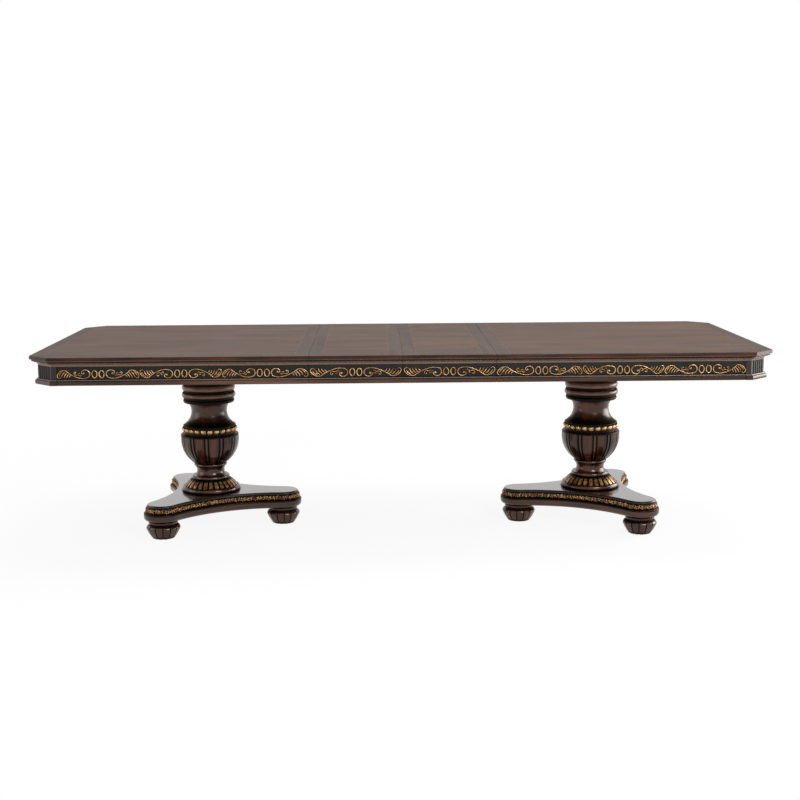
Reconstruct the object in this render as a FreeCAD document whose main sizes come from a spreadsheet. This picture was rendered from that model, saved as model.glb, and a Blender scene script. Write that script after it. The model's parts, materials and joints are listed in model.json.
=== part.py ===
import FreeCAD, Part
import math
import os
import Sketcher
from FreeCAD import Placement, Rotation, Vector

# Extending dining table on two tripod pedestals, drawn open with both leaves in.
# X runs along the table, Y across it and Z up, with the origin on the floor under the middle seam.
# The right half is drawn in full, and the left half is the same half turned about the origin.
# Only the plinths are turned otherwise, so that both inner feet stand a little forward.

# Driving dimensions in millimetres
SIZES = {
    # Top
    "table_width": 1168,
    "half_length": 1057,
    "leaf_width": 352,
    "seam_gap": 1.2,
    "corner_clip": 82,
    "edge_height": 14,
    "under_height": 8,
    "under_inset": 7,
    "edge_round": 2.5,
    "under_round": 5,
    # Apron
    "apron_setback": 32,
    "cove_height": 16,
    "cove_reach": 16,
    "frieze_height": 49,
    "base_height": 21,
    "base_reach": 11,
    "rail_thickness": 20,
    "post_return": 20,
    "post_proud": 3,
    # Slides
    "runner_length": 950,
    "runner_start": 3,
    "runner_height": 55,
    "runner_width": 25,
    "lane_clearance": 24,
    "lane_gap": 0.5,
    "tongue_reach": 8,
    "tongue_root": 16,
    "tongue_tip": 22,
    "slide_clearance": 0.4,
    "brace_place": 300,
    "brace_width": 60,
    "brace_thickness": 20,
    "brace_clearance": 2,
    # Pedestal places
    "pedestal_place": 800,
    "foot_circle": 303,
    "plate_side": 360,
    "plate_thickness": 42,
    # Column with its neck and collar rings
    "column_height": 297,
    "shoulder_radius": 109,
    "shoulder_lip": 4,
    "neck_radius": 73.5,
    "neck_fall": 60,
    "neck_rise": 36,
    "neck_top_radius": 88,
    "ring_groove_radius": 101,
    "ring_groove_height": 5,
    "low_ring_radius": 106,
    "low_ring_height": 15,
    "mid_ring_radius": 111,
    "mid_ring_height": 24,
    "top_ring_radius": 110,
    "top_ring_height": 28,
    "drum_radius": 104,
    # Bead collar
    "bead_seat_radius": 106,
    "bead_margin": 1.5,
    "bead_radius": 9.5,
    # Bowl
    "bowl_seat_radius": 66,
    "bowl_radius": 120,
    "bowl_belly": 101,
    "bowl_rim": 24,
    "bowl_rim_round": 6,
    "bowl_cap_radius": 104,
    "bowl_cap_height": 10,
    "gadroon_depth": 5,
    "gadroon_groove": 5.5,
    "gadroon_rib": 15,
    # Stem
    "torus_radius": 78,
    "torus_height": 16,
    "waist_radius": 57,
    "waist_flare": 7,
    "waist_height": 39,
    "stem_ring_radius": 68,
    "stem_ring_height": 12,
    # Tongue collar and its base disc
    "disc_radius": 121,
    "disc_height": 20,
    "collar_foot_radius": 111,
    "collar_head_radius": 80,
    "collar_height": 30,
    "tongue_groove": 6,
    "tongue_depth": 4,
    # Plinth
    "plinth_lobe": 77,
    "plinth_waist": 162,
    "plinth_base_height": 35,
    "plinth_base_round": 16,
    "plinth_rim_round": 7,
    "band_inset": 10,
    "band_thickness": 8,
    "band_height": 22,
    "band_round": 7,
    "plinth_top_inset": 13,
    "plinth_top_height": 10,
    "plinth_top_round": 7,
    # Bun feet
    "foot_base_radius": 44,
    "foot_radius": 68,
    "foot_belly": 40,
    "foot_crown": 14,
    "foot_shoulder_radius": 58,
    "foot_neck_radius": 52,
    "foot_neck_height": 5,
    "foot_ring_radius": 59,
    "foot_ring_height": 14,
    "foot_groove": 4.5,
    "foot_groove_depth": 4,
    # Fasteners
    "rod_radius": 6,
    "rod_clearance": 0.5,
    "thread_clearance": 0.1,
    "washer_radius": 16,
    "washer_thickness": 2.5,
    "nut_radius": 11,
    "nut_height": 10,
    "rod_tail": 1,
    "recess_gap": 2,
    "recess_clearance": 1.5,
    "screw_radius": 3,
    "screw_clearance": 0.2,
    "screw_head_radius": 6,
    "screw_head_height": 3,
    "screw_cover": 10,
    "screw_inset": 30,
    # Table locks
    "lock_margin": 17,
    "keeper_margin": 7,
    "lock_plate_length": 50,
    "lock_plate_width": 36,
    "lock_plate_thickness": 3,
    "pivot_radius": 3,
    "pivot_clearance": 0.05,
    "pivot_head_radius": 6.5,
    "pivot_head_height": 2,
    "lever_gap": 0.5,
    "lever_thickness": 4,
    "lever_width": 22,
    "lever_grip": 36,
    "lever_nose": 9,
    "keeper_radius": 4,
    "keeper_clearance": 1.5,
    "keeper_tail": 5.5,
    # Overrun of every cut past the stock
    "overrun": 30,
}

BEAD_COUNT = 24
GADROON_COUNT = 12
TONGUE_COUNT = 28
FOOT_LOBE_COUNT = 14
FLUTE_COUNT = 5
LOBE_COUNT = 3
HEX_SIDES = 6

# Sections of the two mouldings: shares of reach and height, and the bulge of the edge that follows
COVE_SECTION_SHARES = ((0, 0, 0), (0, 1, 0), (1, 1, 0), (1, 0.82, -0.2), (0.12, 0, 0))
BASE_SECTION_SHARES = (
    (0, 0, 0),
    (0, 1, 0),
    (0.5, 1, 0.2),
    (0.62, 0.76, 0),
    (1, 0.72, 0.08),
    (0.88, 0, 0),
)
RING_BULGE_SHARE = 0.24
DISC_BULGE_SHARE = 0.22
COLLAR_BULGE_SHARE = 0.06
RIM_BULGE_SHARE = 0.2
FOOT_SIDE_BULGE_SHARE = 0.04
FOOT_SHOULDER_BULGE_SHARE = 0.22
FOOT_RING_BULGE_SHARE = 0.2
FLUTE_RADIUS_SHARE = 0.38
FLUTE_DEPTH_SHARE = 0.7
RUNNER_SCREW_SHARES = (0.2, 0.85)

# Most of a wall that its fillets may take, and how near two places have to be to count as one
FILLET_SHARE = 0.9
MATCH_SHARE = 1e-6

# How much a clipped corner shrinks as its outline moves in, and the slope of its mitres
CLIP_SHARE = 2 - math.sqrt(2)
DIAGONAL_SHARE = math.sqrt(0.5)
MITRE_SHARE = math.tan(math.pi / 8)
CLIP_TURN = 45

# Degrees from one half of the table to the other, and from a plinth's place to its turned place
HALF_TURN = 180
PLINTH_TURN = 3.2


class Size:
    """A length: its number, and the sheet expression that gives it."""

    def __init__(self, number, text):
        self.number = number
        self.text = text

    def __add__(self, other):
        other = as_size(other)
        return Size(self.number + other.number, f"({self.text} + {other.text})")

    def __sub__(self, other):
        other = as_size(other)
        return Size(self.number - other.number, f"({self.text} - {other.text})")

    def __mul__(self, other):
        other = as_size(other)
        return Size(self.number * other.number, f"({self.text} * {other.text})")

    def __truediv__(self, other):
        other = as_size(other)
        return Size(self.number / other.number, f"({self.text} / {other.text})")

    def __rmul__(self, other):
        return self * other

    def __neg__(self):
        return Size(-self.number, f"(0 - {self.text})")


def as_size(value):
    """A share or a zero as a Size, so that sums can mix them with lengths."""
    if isinstance(value, Size):
        return value
    return Size(float(value), f"({value:.12f})")


def root(value):
    return Size(math.sqrt(value.number), f"sqrt({value.text})")


def lesser(one, other):
    return Size(min(one.number, other.number), f"min({one.text}; {other.text})")


class SizeBook:
    """Gives each aliased cell of the sheet as a Size."""

    def __init__(self, sheet):
        self.sheet = sheet

    def __getattr__(self, alias):
        return Size(float(self.sheet.get(alias)), f"{self.sheet.Name}.{alias}")


doc = FreeCAD.newDocument("dining_table")
sheet = doc.addObject("Spreadsheet::Sheet", "Sizes")
for row, (alias, value) in enumerate(SIZES.items(), start=1):
    sheet.set(f"A{row}", alias)
    sheet.set(f"B{row}", str(value))
    sheet.setAlias(f"B{row}", alias)
doc.recompute()
size = SizeBook(sheet)
zero = as_size(0)
nodes = []


# Sketches and features

def keep(part, label):
    """Lists an object as a sub-part under its own label."""
    part.Label = label
    nodes.append(part)
    return part


def place(part, across, along, up, turn=0):
    """Sets an object at named places, turned about Z by some degrees."""
    part.Placement = Placement(Vector(), Rotation(Vector(0, 0, 1), turn))
    for axis, value in zip("xyz", (across, along, up)):
        part.setExpression(f"Placement.Base.{axis}", as_size(value).text)
    return part


def origin_feature(body, role):
    return next(feature for feature in body.Origin.OriginFeatures if feature.Role == role)


def add_body(name):
    return doc.addObject("PartDesign::Body", name)


def add_sketch(body, name, role, offset=zero, swing=0):
    """A sketch on one of the body's planes, moved along its normal or swung about its upright."""
    sketch = body.newObject("Sketcher::SketchObject", name)
    sketch.AttachmentSupport = (origin_feature(body, role), [""])
    sketch.MapMode = "FlatFace"
    sketch.AttachmentOffset = Placement(Vector(), Rotation(Vector(0, 1, 0), swing))
    sketch.setExpression("AttachmentOffset.Base.z", as_size(offset).text)
    return sketch


def bind(sketch, kind, *where_and_value):
    """Adds a constraint whose value follows the sheet."""
    *where, value = where_and_value
    value = as_size(value)
    index = sketch.addConstraint(Sketcher.Constraint(kind, *where, value.number))
    sketch.setExpression(f"Constraints[{index}]", value.text)


def add_edge(sketch, here, there):
    """Adds the line or arc between two corners and gives its index with its first and last points."""
    first = Vector(here[0].number, here[1].number, 0)
    last = Vector(there[0].number, there[1].number, 0)
    share = here[2]
    if share == 0:
        return sketch.addGeometry(Part.LineSegment(first, last), False), 1, 2
    chord = last - first
    radius_share = 1 / (8 * abs(share)) + abs(share) / 2
    outward = Vector(chord.y, -chord.x, 0) * math.copysign(1, share)
    centre = (first + last) * 0.5 + outward * (abs(share) - radius_share)
    start, end = (first, last) if share > 0 else (last, first)
    angles = [math.atan2(point.y - centre.y, point.x - centre.x) for point in (start, end)]
    if angles[1] < angles[0]:
        angles[1] += 2 * math.pi
    circle = Part.Circle(centre, Vector(0, 0, 1), chord.Length * radius_share)
    index = sketch.addGeometry(Part.ArcOfCircle(circle, *angles), False)
    across = there[0] - here[0]
    up = there[1] - here[1]
    bind(sketch, "Radius", index, root(across * across + up * up) * radius_share)
    return (index, 1, 2) if share > 0 else (index, 2, 1)


def draw(sketch, corners):
    """Draws a closed outline.

    A corner is (across, up), with the bulge of the edge after it as a share of that edge's chord.
    A positive bulge stands out on the right of the way that the outline is drawn.
    """
    corners = [(as_size(corner[0]), as_size(corner[1]), (*corner, 0)[2]) for corner in corners]
    edges = [add_edge(sketch, *pair) for pair in zip(corners, corners[1:] + corners[:1])]
    for corner, edge, following in zip(corners, edges, edges[1:] + edges[:1]):
        bind(sketch, "DistanceX", edge[0], edge[1], corner[0])
        bind(sketch, "DistanceY", edge[0], edge[1], corner[1])
        sketch.addConstraint(Sketcher.Constraint("Coincident", edge[0], edge[2], *following[:2]))
    return sketch


def draw_circle(sketch, across, up, radius):
    centre = Vector(as_size(across).number, as_size(up).number, 0)
    index = sketch.addGeometry(Part.Circle(centre, Vector(0, 0, 1), radius.number), False)
    bind(sketch, "DistanceX", index, 3, across)
    bind(sketch, "DistanceY", index, 3, up)
    bind(sketch, "Radius", index, radius)


def pad(body, sketch, length, down=False):
    feature = body.newObject("PartDesign::Pad", f"{sketch.Name}_pad")
    feature.Profile = sketch
    feature.Reversed = down
    feature.setExpression("Length", length.text)
    return feature


def cut_through(body, sketch):
    """Cuts a sketch through the whole body, both ways."""
    feature = body.newObject("PartDesign::Pocket", f"{sketch.Name}_cut")
    feature.Profile = sketch
    feature.Type = "ThroughAll"
    feature.SideType = "Symmetric"
    return feature


def cut_depth(body, sketch, depth, up=False, both_ways=False):
    """Cuts a sketch to a depth, downwards unless told to go up or both ways."""
    feature = body.newObject("PartDesign::Pocket", f"{sketch.Name}_cut")
    feature.Profile = sketch
    feature.Reversed = up
    if both_ways:
        feature.SideType = "Symmetric"
    feature.setExpression("Length", depth.text)
    return feature


def repeat_round(body, originals, count):
    feature = body.newObject("PartDesign::PolarPattern", f"{originals[0].Name}_round")
    feature.Originals = originals
    feature.Axis = (origin_feature(body, "Z_Axis"), [""])
    feature.Angle = 360
    feature.Occurrences = count
    body.Tip = feature
    return feature


def round_edges(body, radius, chosen):
    """Rounds the edges of the body so far for which chosen(edge) holds."""
    doc.recompute()
    base = body.Tip
    names = [f"Edge{i}" for i, edge in enumerate(base.Shape.Edges, start=1) if chosen(edge)]
    feature = body.newObject("PartDesign::Fillet", f"{body.Name}_round")
    feature.Base = (base, names)
    feature.setExpression("Radius", radius.text)
    return feature


def matches(one, other):
    """Says whether two places are the same to within rounding."""
    return abs(one - other) < size.table_width.number * MATCH_SHARE


def on_level(edge, level):
    """Says whether every end of an edge lies at a height."""
    return all(matches(vertex.Z, level.number) for vertex in edge.Vertexes)


def turned(name, outline):
    """A body turned about Z from an outline of (radius, height) corners."""
    body = add_body(name)
    sketch = draw(add_sketch(body, f"{name}_outline", "XZ_Plane"), outline)
    feature = body.newObject("PartDesign::Revolution", f"{name}_turning")
    feature.Profile = sketch
    feature.ReferenceAxis = (sketch, ["V_Axis"])
    feature.Angle = 360
    return body


def groove_round(body, outline, width, count, swings=(0,)):
    """Cuts a groove of a given upright outline into a turned body and repeats it round the axis."""
    grooves = []
    for swing in swings:
        sketch = draw(add_sketch(body, f"{body.Name}_groove", "XZ_Plane", swing=swing), outline)
        grooves.append(cut_depth(body, sketch, width, both_ways=True))
    repeat_round(body, grooves, count)


def box(name, low, sides):
    part = doc.addObject("Part::Box", name)
    for side, value in zip(("Length", "Width", "Height"), sides):
        part.setExpression(side, value.text)
    return place(part, *low)


def group(name, members):
    """Separate solids that share one node."""
    part = doc.addObject("Part::Compound", name)
    part.Links = members
    return part


def mirrored_across(name, source):
    """The same piece on the other long side of the table."""
    part = doc.addObject("Part::Mirroring", name)
    part.Source = source
    part.Normal = Vector(0, 1, 0)
    return part


def bulged(radius, height, share):
    """Edge radius of a round moulding whose crown reaches a radius."""
    return radius - height * share


def tangent_share(across, along):
    """Bulge of an arc that ends parallel to the axis, from its two legs."""
    return math.tan(math.atan2(across.number, along.number) / 2) / 2


# Levels of the pedestal, from the floor up
foot_shoulder = size.foot_belly + size.foot_crown
foot_ring_low = foot_shoulder + size.foot_neck_height
plinth_low = foot_ring_low + size.foot_ring_height
band_low = plinth_low + size.plinth_base_height
plinth_top_low = band_low + size.band_height
plinth_top = plinth_top_low + size.plinth_top_height
stem_low = plinth_top + size.disc_height + size.collar_height
bowl_low = stem_low + size.torus_height + size.waist_height + size.stem_ring_height
bead_low = bowl_low + size.bowl_belly + size.bowl_rim + size.bowl_cap_height
bead_seat_height = (size.bead_radius + size.bead_margin) * 2
column_low = bead_low + bead_seat_height
plate_low = column_low + size.column_height

# Levels and lines of the top and its apron
half_width = size.table_width / 2
panel_step = size.leaf_width + size.seam_gap
seam = panel_step + size.seam_gap / 2
tip = seam + size.half_length
slab_low = plate_low + size.plate_thickness
edge_low = slab_low + size.under_height
table_top = edge_low + size.edge_height
cove_low = slab_low - size.cove_height
frieze_low = cove_low - size.frieze_height
apron_low = frieze_low - size.base_height
apron_height = slab_low - apron_low

frieze_side = half_width - size.apron_setback
frieze_end = tip - size.apron_setback
frieze_clip = size.corner_clip - size.apron_setback * CLIP_SHARE
post_side = frieze_side + size.post_proud
post_end = frieze_end + size.post_proud
post_clip = frieze_clip + size.post_proud * CLIP_SHARE
post_edge_along = post_end - post_clip - size.post_return
post_edge_across = post_side - post_clip - size.post_return

# Lanes of the slides: one for each half's runner, with the centre runner's lane between them
lane_step = size.runner_width + size.lane_gap
lane_inner = size.plate_side / 2 + size.lane_clearance
lane_middle = lane_inner + lane_step
lane_outer = lane_middle + lane_step
lane_end = lane_outer + size.runner_width
runner_out = size.runner_start + size.runner_length
runner_low = slab_low - size.runner_height
runner_middle = slab_low - size.runner_height / 2

# Bores, recesses and screw places
bore = size.rod_radius + size.rod_clearance
recess_radius = size.washer_radius + size.recess_gap
recess_depth = size.washer_thickness + size.nut_height + size.rod_tail + size.recess_clearance
screw_hole = size.screw_radius + size.screw_clearance
screw_bite = size.edge_height + size.under_height - size.screw_cover
runner_wood = (size.runner_width - size.tongue_reach) / 2
runner_screw_lines = [-(lane_inner + runner_wood), lane_end - runner_wood]
runner_screw_places = [seam + (runner_out - seam) * share for share in RUNNER_SCREW_SHARES]
runner_screw_spots = [(x, y) for x in runner_screw_places for y in runner_screw_lines]
plate_screw_reach = size.plate_side / 2 - size.screw_inset
plate_screws = [(plate_screw_reach * i, plate_screw_reach * j) for i in (-1, 1) for j in (-1, 1)]
plate_screw_spots = [(size.pedestal_place + x, y) for x, y in plate_screws]

# Places of the table locks
lock_setback = size.lock_plate_width / 2 + size.lock_margin
keeper_setback = size.lock_plate_width / 2 + size.keeper_margin
keeper_reach = lock_setback + size.seam_gap + keeper_setback
keeper_slot = size.keeper_radius + size.keeper_clearance
lever_tip = keeper_reach + keeper_slot + size.lever_nose
lever_top = slab_low - size.lock_plate_thickness - size.lever_gap
lock_space = frieze_side - size.rail_thickness - lane_end
lock_line = lane_end + (lock_space - lever_tip - size.lever_grip) / 2 + lever_tip


# Top panels, rails and mouldings

def panel_outline(inset):
    """Plan of the right half's panel, set in from its edges but not from the seam."""
    side = half_width - inset
    end = tip - inset
    clip = size.corner_clip - inset * CLIP_SHARE
    return [
        (seam, -side),
        (end - clip, -side),
        (end, -side + clip),
        (end, side - clip),
        (end - clip, side),
        (seam, side),
    ]


def leaf_outline(inset):
    """Plan of the right leaf's panel, set in from the table's two sides only."""
    side = half_width - inset
    near = size.seam_gap / 2
    far = near + size.leaf_width
    return [(near, -side), (far, -side), (far, side), (near, side)]


def make_panel(label, outline, seams, pilots=()):
    """A top panel: a board with a rounded edge on a smaller board, with pilot holes underneath.

    Edges that lie on a seam stay square.
    """
    body = add_body(label)
    plan = draw(add_sketch(body, f"{label}_plan", "XY_Plane", edge_low), outline(zero))
    pad(body, plan, size.edge_height)
    under = draw(add_sketch(body, f"{label}_under", "XY_Plane", edge_low), outline(size.under_inset))
    pad(body, under, size.under_height, down=True)

    def outer(edge):
        on_seam = [all(matches(vertex.X, line.number) for vertex in edge.Vertexes) for line in seams]
        return not any(on_seam)

    edge_round = lesser(size.edge_round, size.edge_height * FILLET_SHARE)
    under_round = lesser(size.under_round, size.under_height * FILLET_SHARE)
    round_edges(body, edge_round, lambda edge: on_level(edge, table_top) and outer(edge))
    round_edges(body, under_round, lambda edge: on_level(edge, slab_low) and outer(edge))
    if pilots:
        holes = add_sketch(body, f"{label}_pilots", "XY_Plane", slab_low)
        for across, along in pilots:
            draw_circle(holes, across, along, screw_hole)
        cut_depth(body, holes, screw_bite, up=True)
    return keep(body, label)


# Each kind of moulding: its section, how far it stands out and its height
COVE = (COVE_SECTION_SHARES, size.cove_reach, size.cove_height)
BASE = (BASE_SECTION_SHARES, size.base_reach, size.base_height)


def section(shares, reach, height):
    """A moulding's section, with its back on the line of the bar and its face to the right of it."""
    return [(reach * -out, height * up, bulge) for out, up, bulge in shares]


def moulding(kind, up, name, start, length, turn=0, mitres=(0, 0)):
    """A length of one kind of moulding along a line, with square or mitred ends."""
    shares, reach, height = kind
    body = add_body(name)
    run = add_sketch(body, f"{name}_section", "YZ_Plane", -size.overrun)
    pad(body, draw(run, section(shares, reach, height)), length + size.overrun * 2)
    out = reach + size.overrun
    past = size.overrun * 2
    first, last = (MITRE_SHARE * mitre for mitre in mitres)
    ends = add_sketch(body, f"{name}_ends", "XY_Plane")
    draw(ends, [
        (out * -first, -out),
        (size.overrun * first, size.overrun),
        (-past, size.overrun),
        (-past, -out),
    ])
    draw(ends, [
        (length + out * last, -out),
        (length + past, -out),
        (length + past, size.overrun),
        (length - size.overrun * last, size.overrun),
    ])
    cut_through(body, ends)
    return place(body, *start, up, turn)


def make_cove():
    """Cove moulding under the right half's top: five lengths, mitred at the clipped corners."""
    clip_length = root(frieze_clip * frieze_clip * 2)
    side_length = frieze_end - frieze_clip - seam
    end_length = (frieze_side - frieze_clip) * 2
    lengths = [
        ("cove_front", (seam, -frieze_side), side_length, 0, (0, 1)),
        ("cove_front_clip", (frieze_end - frieze_clip, -frieze_side), clip_length, 45, (1, 1)),
        ("cove_end", (frieze_end, -frieze_side + frieze_clip), end_length, 90, (1, 1)),
        ("cove_back_clip", (frieze_end, frieze_side - frieze_clip), clip_length, 135, (1, 1)),
        ("cove_back", (frieze_end - frieze_clip, frieze_side), side_length, 180, (1, 0)),
    ]
    bars = [moulding(COVE, cove_low, *run) for run in lengths]
    return keep(group("cove_lengths", bars), "right_cove_moulding")


def make_base_moulding():
    """Base moulding of the right half: runs on the rails, and mitred wraps on the proud corner posts."""
    clip_length = root(post_clip * post_clip * 2)
    side_length = post_edge_along - seam
    end_length = post_edge_across * 2
    back = size.post_return
    lengths = [
        ("base_front", (seam, -frieze_side), side_length, 0, (0, 0)),
        ("base_front_return", (post_edge_along, -post_side), back, 0, (0, 1)),
        ("base_front_clip", (post_end - post_clip, -post_side), clip_length, 45, (1, 1)),
        ("base_front_end_return", (post_end, -post_side + post_clip), back, 90, (1, 0)),
        ("base_end", (frieze_end, -post_edge_across), end_length, 90, (0, 0)),
        ("base_back_end_return", (post_end, post_edge_across), back, 90, (0, 1)),
        ("base_back_clip", (post_end, post_side - post_clip), clip_length, 135, (1, 1)),
        ("base_back_return", (post_end - post_clip, post_side), back, 180, (1, 0)),
        ("base_back", (post_edge_along, frieze_side), side_length, 180, (0, 0)),
    ]
    bars = [moulding(BASE, apron_low, *run) for run in lengths]
    return keep(group("base_lengths", bars), "right_base_moulding")


def make_rails():
    """Front, back and end rails of the right half, whose outer faces are the friezes."""
    length = post_edge_along - seam
    thick = size.rail_thickness
    front = box("front_rail", (seam, -frieze_side, apron_low), (length, thick, apron_height))
    back = box("back_rail", (seam, frieze_side - thick, apron_low), (length, thick, apron_height))
    end_low = (frieze_end - thick, -post_edge_across, apron_low)
    end = box("end_rail", end_low, (thick, post_edge_across * 2, apron_height))
    return [
        keep(front, "right_front_rail"),
        keep(back, "right_back_rail"),
        keep(end, "right_end_rail"),
    ]


def make_posts():
    """Fluted corner posts across the right half's clipped corners, under the cove."""
    face = root(post_clip * post_clip * 2)
    thick = size.rail_thickness + size.post_proud
    half = face / 2
    lean = size.post_return * DIAGONAL_SHARE
    inner = thick * DIAGONAL_SHARE
    body = add_body("front_post")
    plan = add_sketch(body, "post_plan", "XY_Plane")
    draw(plan, [
        (-(half + lean), lean),
        (-half, zero),
        (half, zero),
        (half + lean, lean),
        (half + lean - inner, lean + inner),
        (-(half + lean - inner), lean + inner),
    ])
    pad(body, plan, size.frieze_height + size.base_height)
    pitch = face / (FLUTE_COUNT + 1)
    flute = pitch * FLUTE_RADIUS_SHARE
    flutes = add_sketch(body, "post_flutes", "XY_Plane")
    for i in range(FLUTE_COUNT):
        across = pitch * (i + 1) - half
        draw_circle(flutes, across, -(flute * (1 - FLUTE_DEPTH_SHARE)), flute)
    cut_through(body, flutes)
    place(body, post_end - post_clip / 2, -(post_side - post_clip / 2), apron_low, CLIP_TURN)
    return keep(group("post_pair", [body, mirrored_across("back_post", body)]), "right_corner_posts")


def make_leaf():
    """The right leaf: panel, rails and straight lengths of both mouldings."""
    near = size.seam_gap / 2
    far = near + size.leaf_width
    thick = size.rail_thickness
    panel = make_panel("leaf_right_top", leaf_outline, [near, far])
    rail_sides = (size.leaf_width, thick, apron_height)
    front = box("leaf_front", (near, -frieze_side, apron_low), rail_sides)
    back = box("leaf_back", (near, frieze_side - thick, apron_low), rail_sides)
    bars = []
    for name, kind, level in (("leaf_cove", COVE, cove_low), ("leaf_base", BASE, apron_low)):
        bars.append(moulding(kind, level, f"{name}_front", (near, -frieze_side), size.leaf_width))
        bars.append(moulding(kind, level, f"{name}_back", (far, frieze_side), size.leaf_width, 180))
    return [
        panel,
        keep(front, "leaf_right_front_rail"),
        keep(back, "leaf_right_back_rail"),
        keep(group("leaf_lengths", bars), "leaf_right_mouldings"),
    ]


# Slides

def tongue(face, way, play):
    """Dovetail corners on a runner's face, from low to high."""
    root_half = size.tongue_root / 2 + play
    tip_half = size.tongue_tip / 2 + play
    deep = face + size.tongue_reach * way
    return [
        (face, runner_middle - root_half),
        (deep, runner_middle - tip_half),
        (deep, runner_middle + tip_half),
        (face, runner_middle + root_half),
    ]


def make_runner(name, plain, grooved, screw_line):
    """A half's runner with a dovetail groove in one face and screw holes up through it."""
    body = add_body(name)
    profile = add_sketch(body, f"{name}_section", "YZ_Plane", size.runner_start)
    groove = tongue(grooved, 1, size.slide_clearance)
    low = [(plain, slab_low), (plain, runner_low), (grooved, runner_low)]
    pad(body, draw(profile, low + groove + [(grooved, slab_low)]), size.runner_length)
    holes = add_sketch(body, f"{name}_holes", "XY_Plane")
    for across in runner_screw_places:
        draw_circle(holes, across, screw_line, screw_hole)
    cut_through(body, holes)
    return body


def make_right_runners():
    """The right half's runners: inside the centre runner at the front, outside it at the back."""
    front_line, back_line = runner_screw_lines
    front = make_runner("front_runner", -lane_inner, -lane_inner - size.runner_width, front_line)
    back = make_runner("back_runner", lane_end, lane_outer, back_line)
    return keep(group("runner_pair", [front, back]), "right_runners")


def make_centre_frame():
    """Centre runners with a dovetail tongue on each face, and the braces that tie them."""
    inner = -lane_middle
    outer = inner - size.runner_width
    low = runner_low - size.brace_clearance
    body = add_body("front_centre_runner")
    profile = add_sketch(body, "centre_section", "YZ_Plane", -(size.runner_length / 2))
    outer_side = [(outer, low), *tongue(outer, -1, zero), (outer, slab_low)]
    inner_side = [(inner, low), *tongue(inner, 1, zero), (inner, slab_low)]
    pad(body, draw(profile, outer_side + inner_side[::-1]), size.runner_length)
    pair = group("centre_pair", [body, mirrored_across("back_centre_runner", body)])
    sides = (size.brace_width, -outer * 2, size.brace_thickness)
    braces = []
    for i, way in enumerate((-1, 1)):
        left = size.brace_place * way - size.brace_width / 2
        braces.append(box(f"brace_{i}", (left, outer, low - size.brace_thickness), sides))
    return [keep(pair, "centre_runners"), keep(group("brace_pair", braces), "cross_braces")]


# Pedestal

def make_head_plate():
    """Plate that joins the column to the top, bored for the rod and its nut and for four screws."""
    body = add_body("head_plate")
    half = size.plate_side / 2
    plan = add_sketch(body, "plate_plan", "XY_Plane")
    draw(plan, [(-half, -half), (half, -half), (half, half), (-half, half)])
    draw_circle(plan, zero, zero, bore)
    for across, along in plate_screws:
        draw_circle(plan, across, along, screw_hole)
    pad(body, plan, size.plate_thickness)
    recess = add_sketch(body, "plate_recess", "XY_Plane", size.plate_thickness)
    draw_circle(recess, zero, zero, recess_radius)
    cut_depth(body, recess, recess_depth)
    place(body, size.pedestal_place, zero, plate_low)
    return keep(body, "right_head_plate")


def make_column():
    """Turned column: a hollow-curved neck under a stack of collar rings and a plain drum."""
    low_share = -tangent_share(size.shoulder_radius - size.neck_radius, size.neck_fall)
    high_share = -tangent_share(size.neck_top_radius - size.neck_radius, size.neck_rise)
    waist = size.shoulder_lip + size.neck_fall
    level = waist + size.neck_rise
    outline = [
        (bore, zero),
        (size.shoulder_radius, zero),
        (size.shoulder_radius, size.shoulder_lip, low_share),
        (size.neck_radius, waist, high_share),
        (size.neck_top_radius, level),
    ]
    rings = (
        (size.low_ring_radius, size.low_ring_height),
        (size.mid_ring_radius, size.mid_ring_height),
        (size.top_ring_radius, size.top_ring_height),
    )
    for radius, height in rings:
        edge = bulged(radius, height, RING_BULGE_SHARE)
        top = level + height
        outline += [(edge, level, RING_BULGE_SHARE), (edge, top), (size.ring_groove_radius, top)]
        level = top + size.ring_groove_height
        outline.append((size.ring_groove_radius, level))
    top = size.column_height
    outline += [(size.drum_radius, level), (size.drum_radius, top), (bore, top)]
    body = place(turned("column", outline), size.pedestal_place, zero, column_low)
    return keep(body, "right_column")


def make_bead_collar():
    """Ring of beads between the neck and the bowl, with a gap between two beads at the front."""
    height = bead_seat_height
    radius = size.bead_seat_radius
    body = turned("bead_collar", [(bore, zero), (radius, zero), (radius, height), (bore, height)])
    bead = body.newObject("PartDesign::AdditiveSphere", "bead")
    bead.setExpression("Radius", size.bead_radius.text)
    bead.setExpression("Placement.Base.x", radius.text)
    bead.setExpression("Placement.Base.z", (height / 2).text)
    repeat_round(body, [bead], BEAD_COUNT)
    half_step = 180 / BEAD_COUNT
    return keep(place(body, size.pedestal_place, zero, bead_low, half_step), "right_bead_collar")


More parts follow.
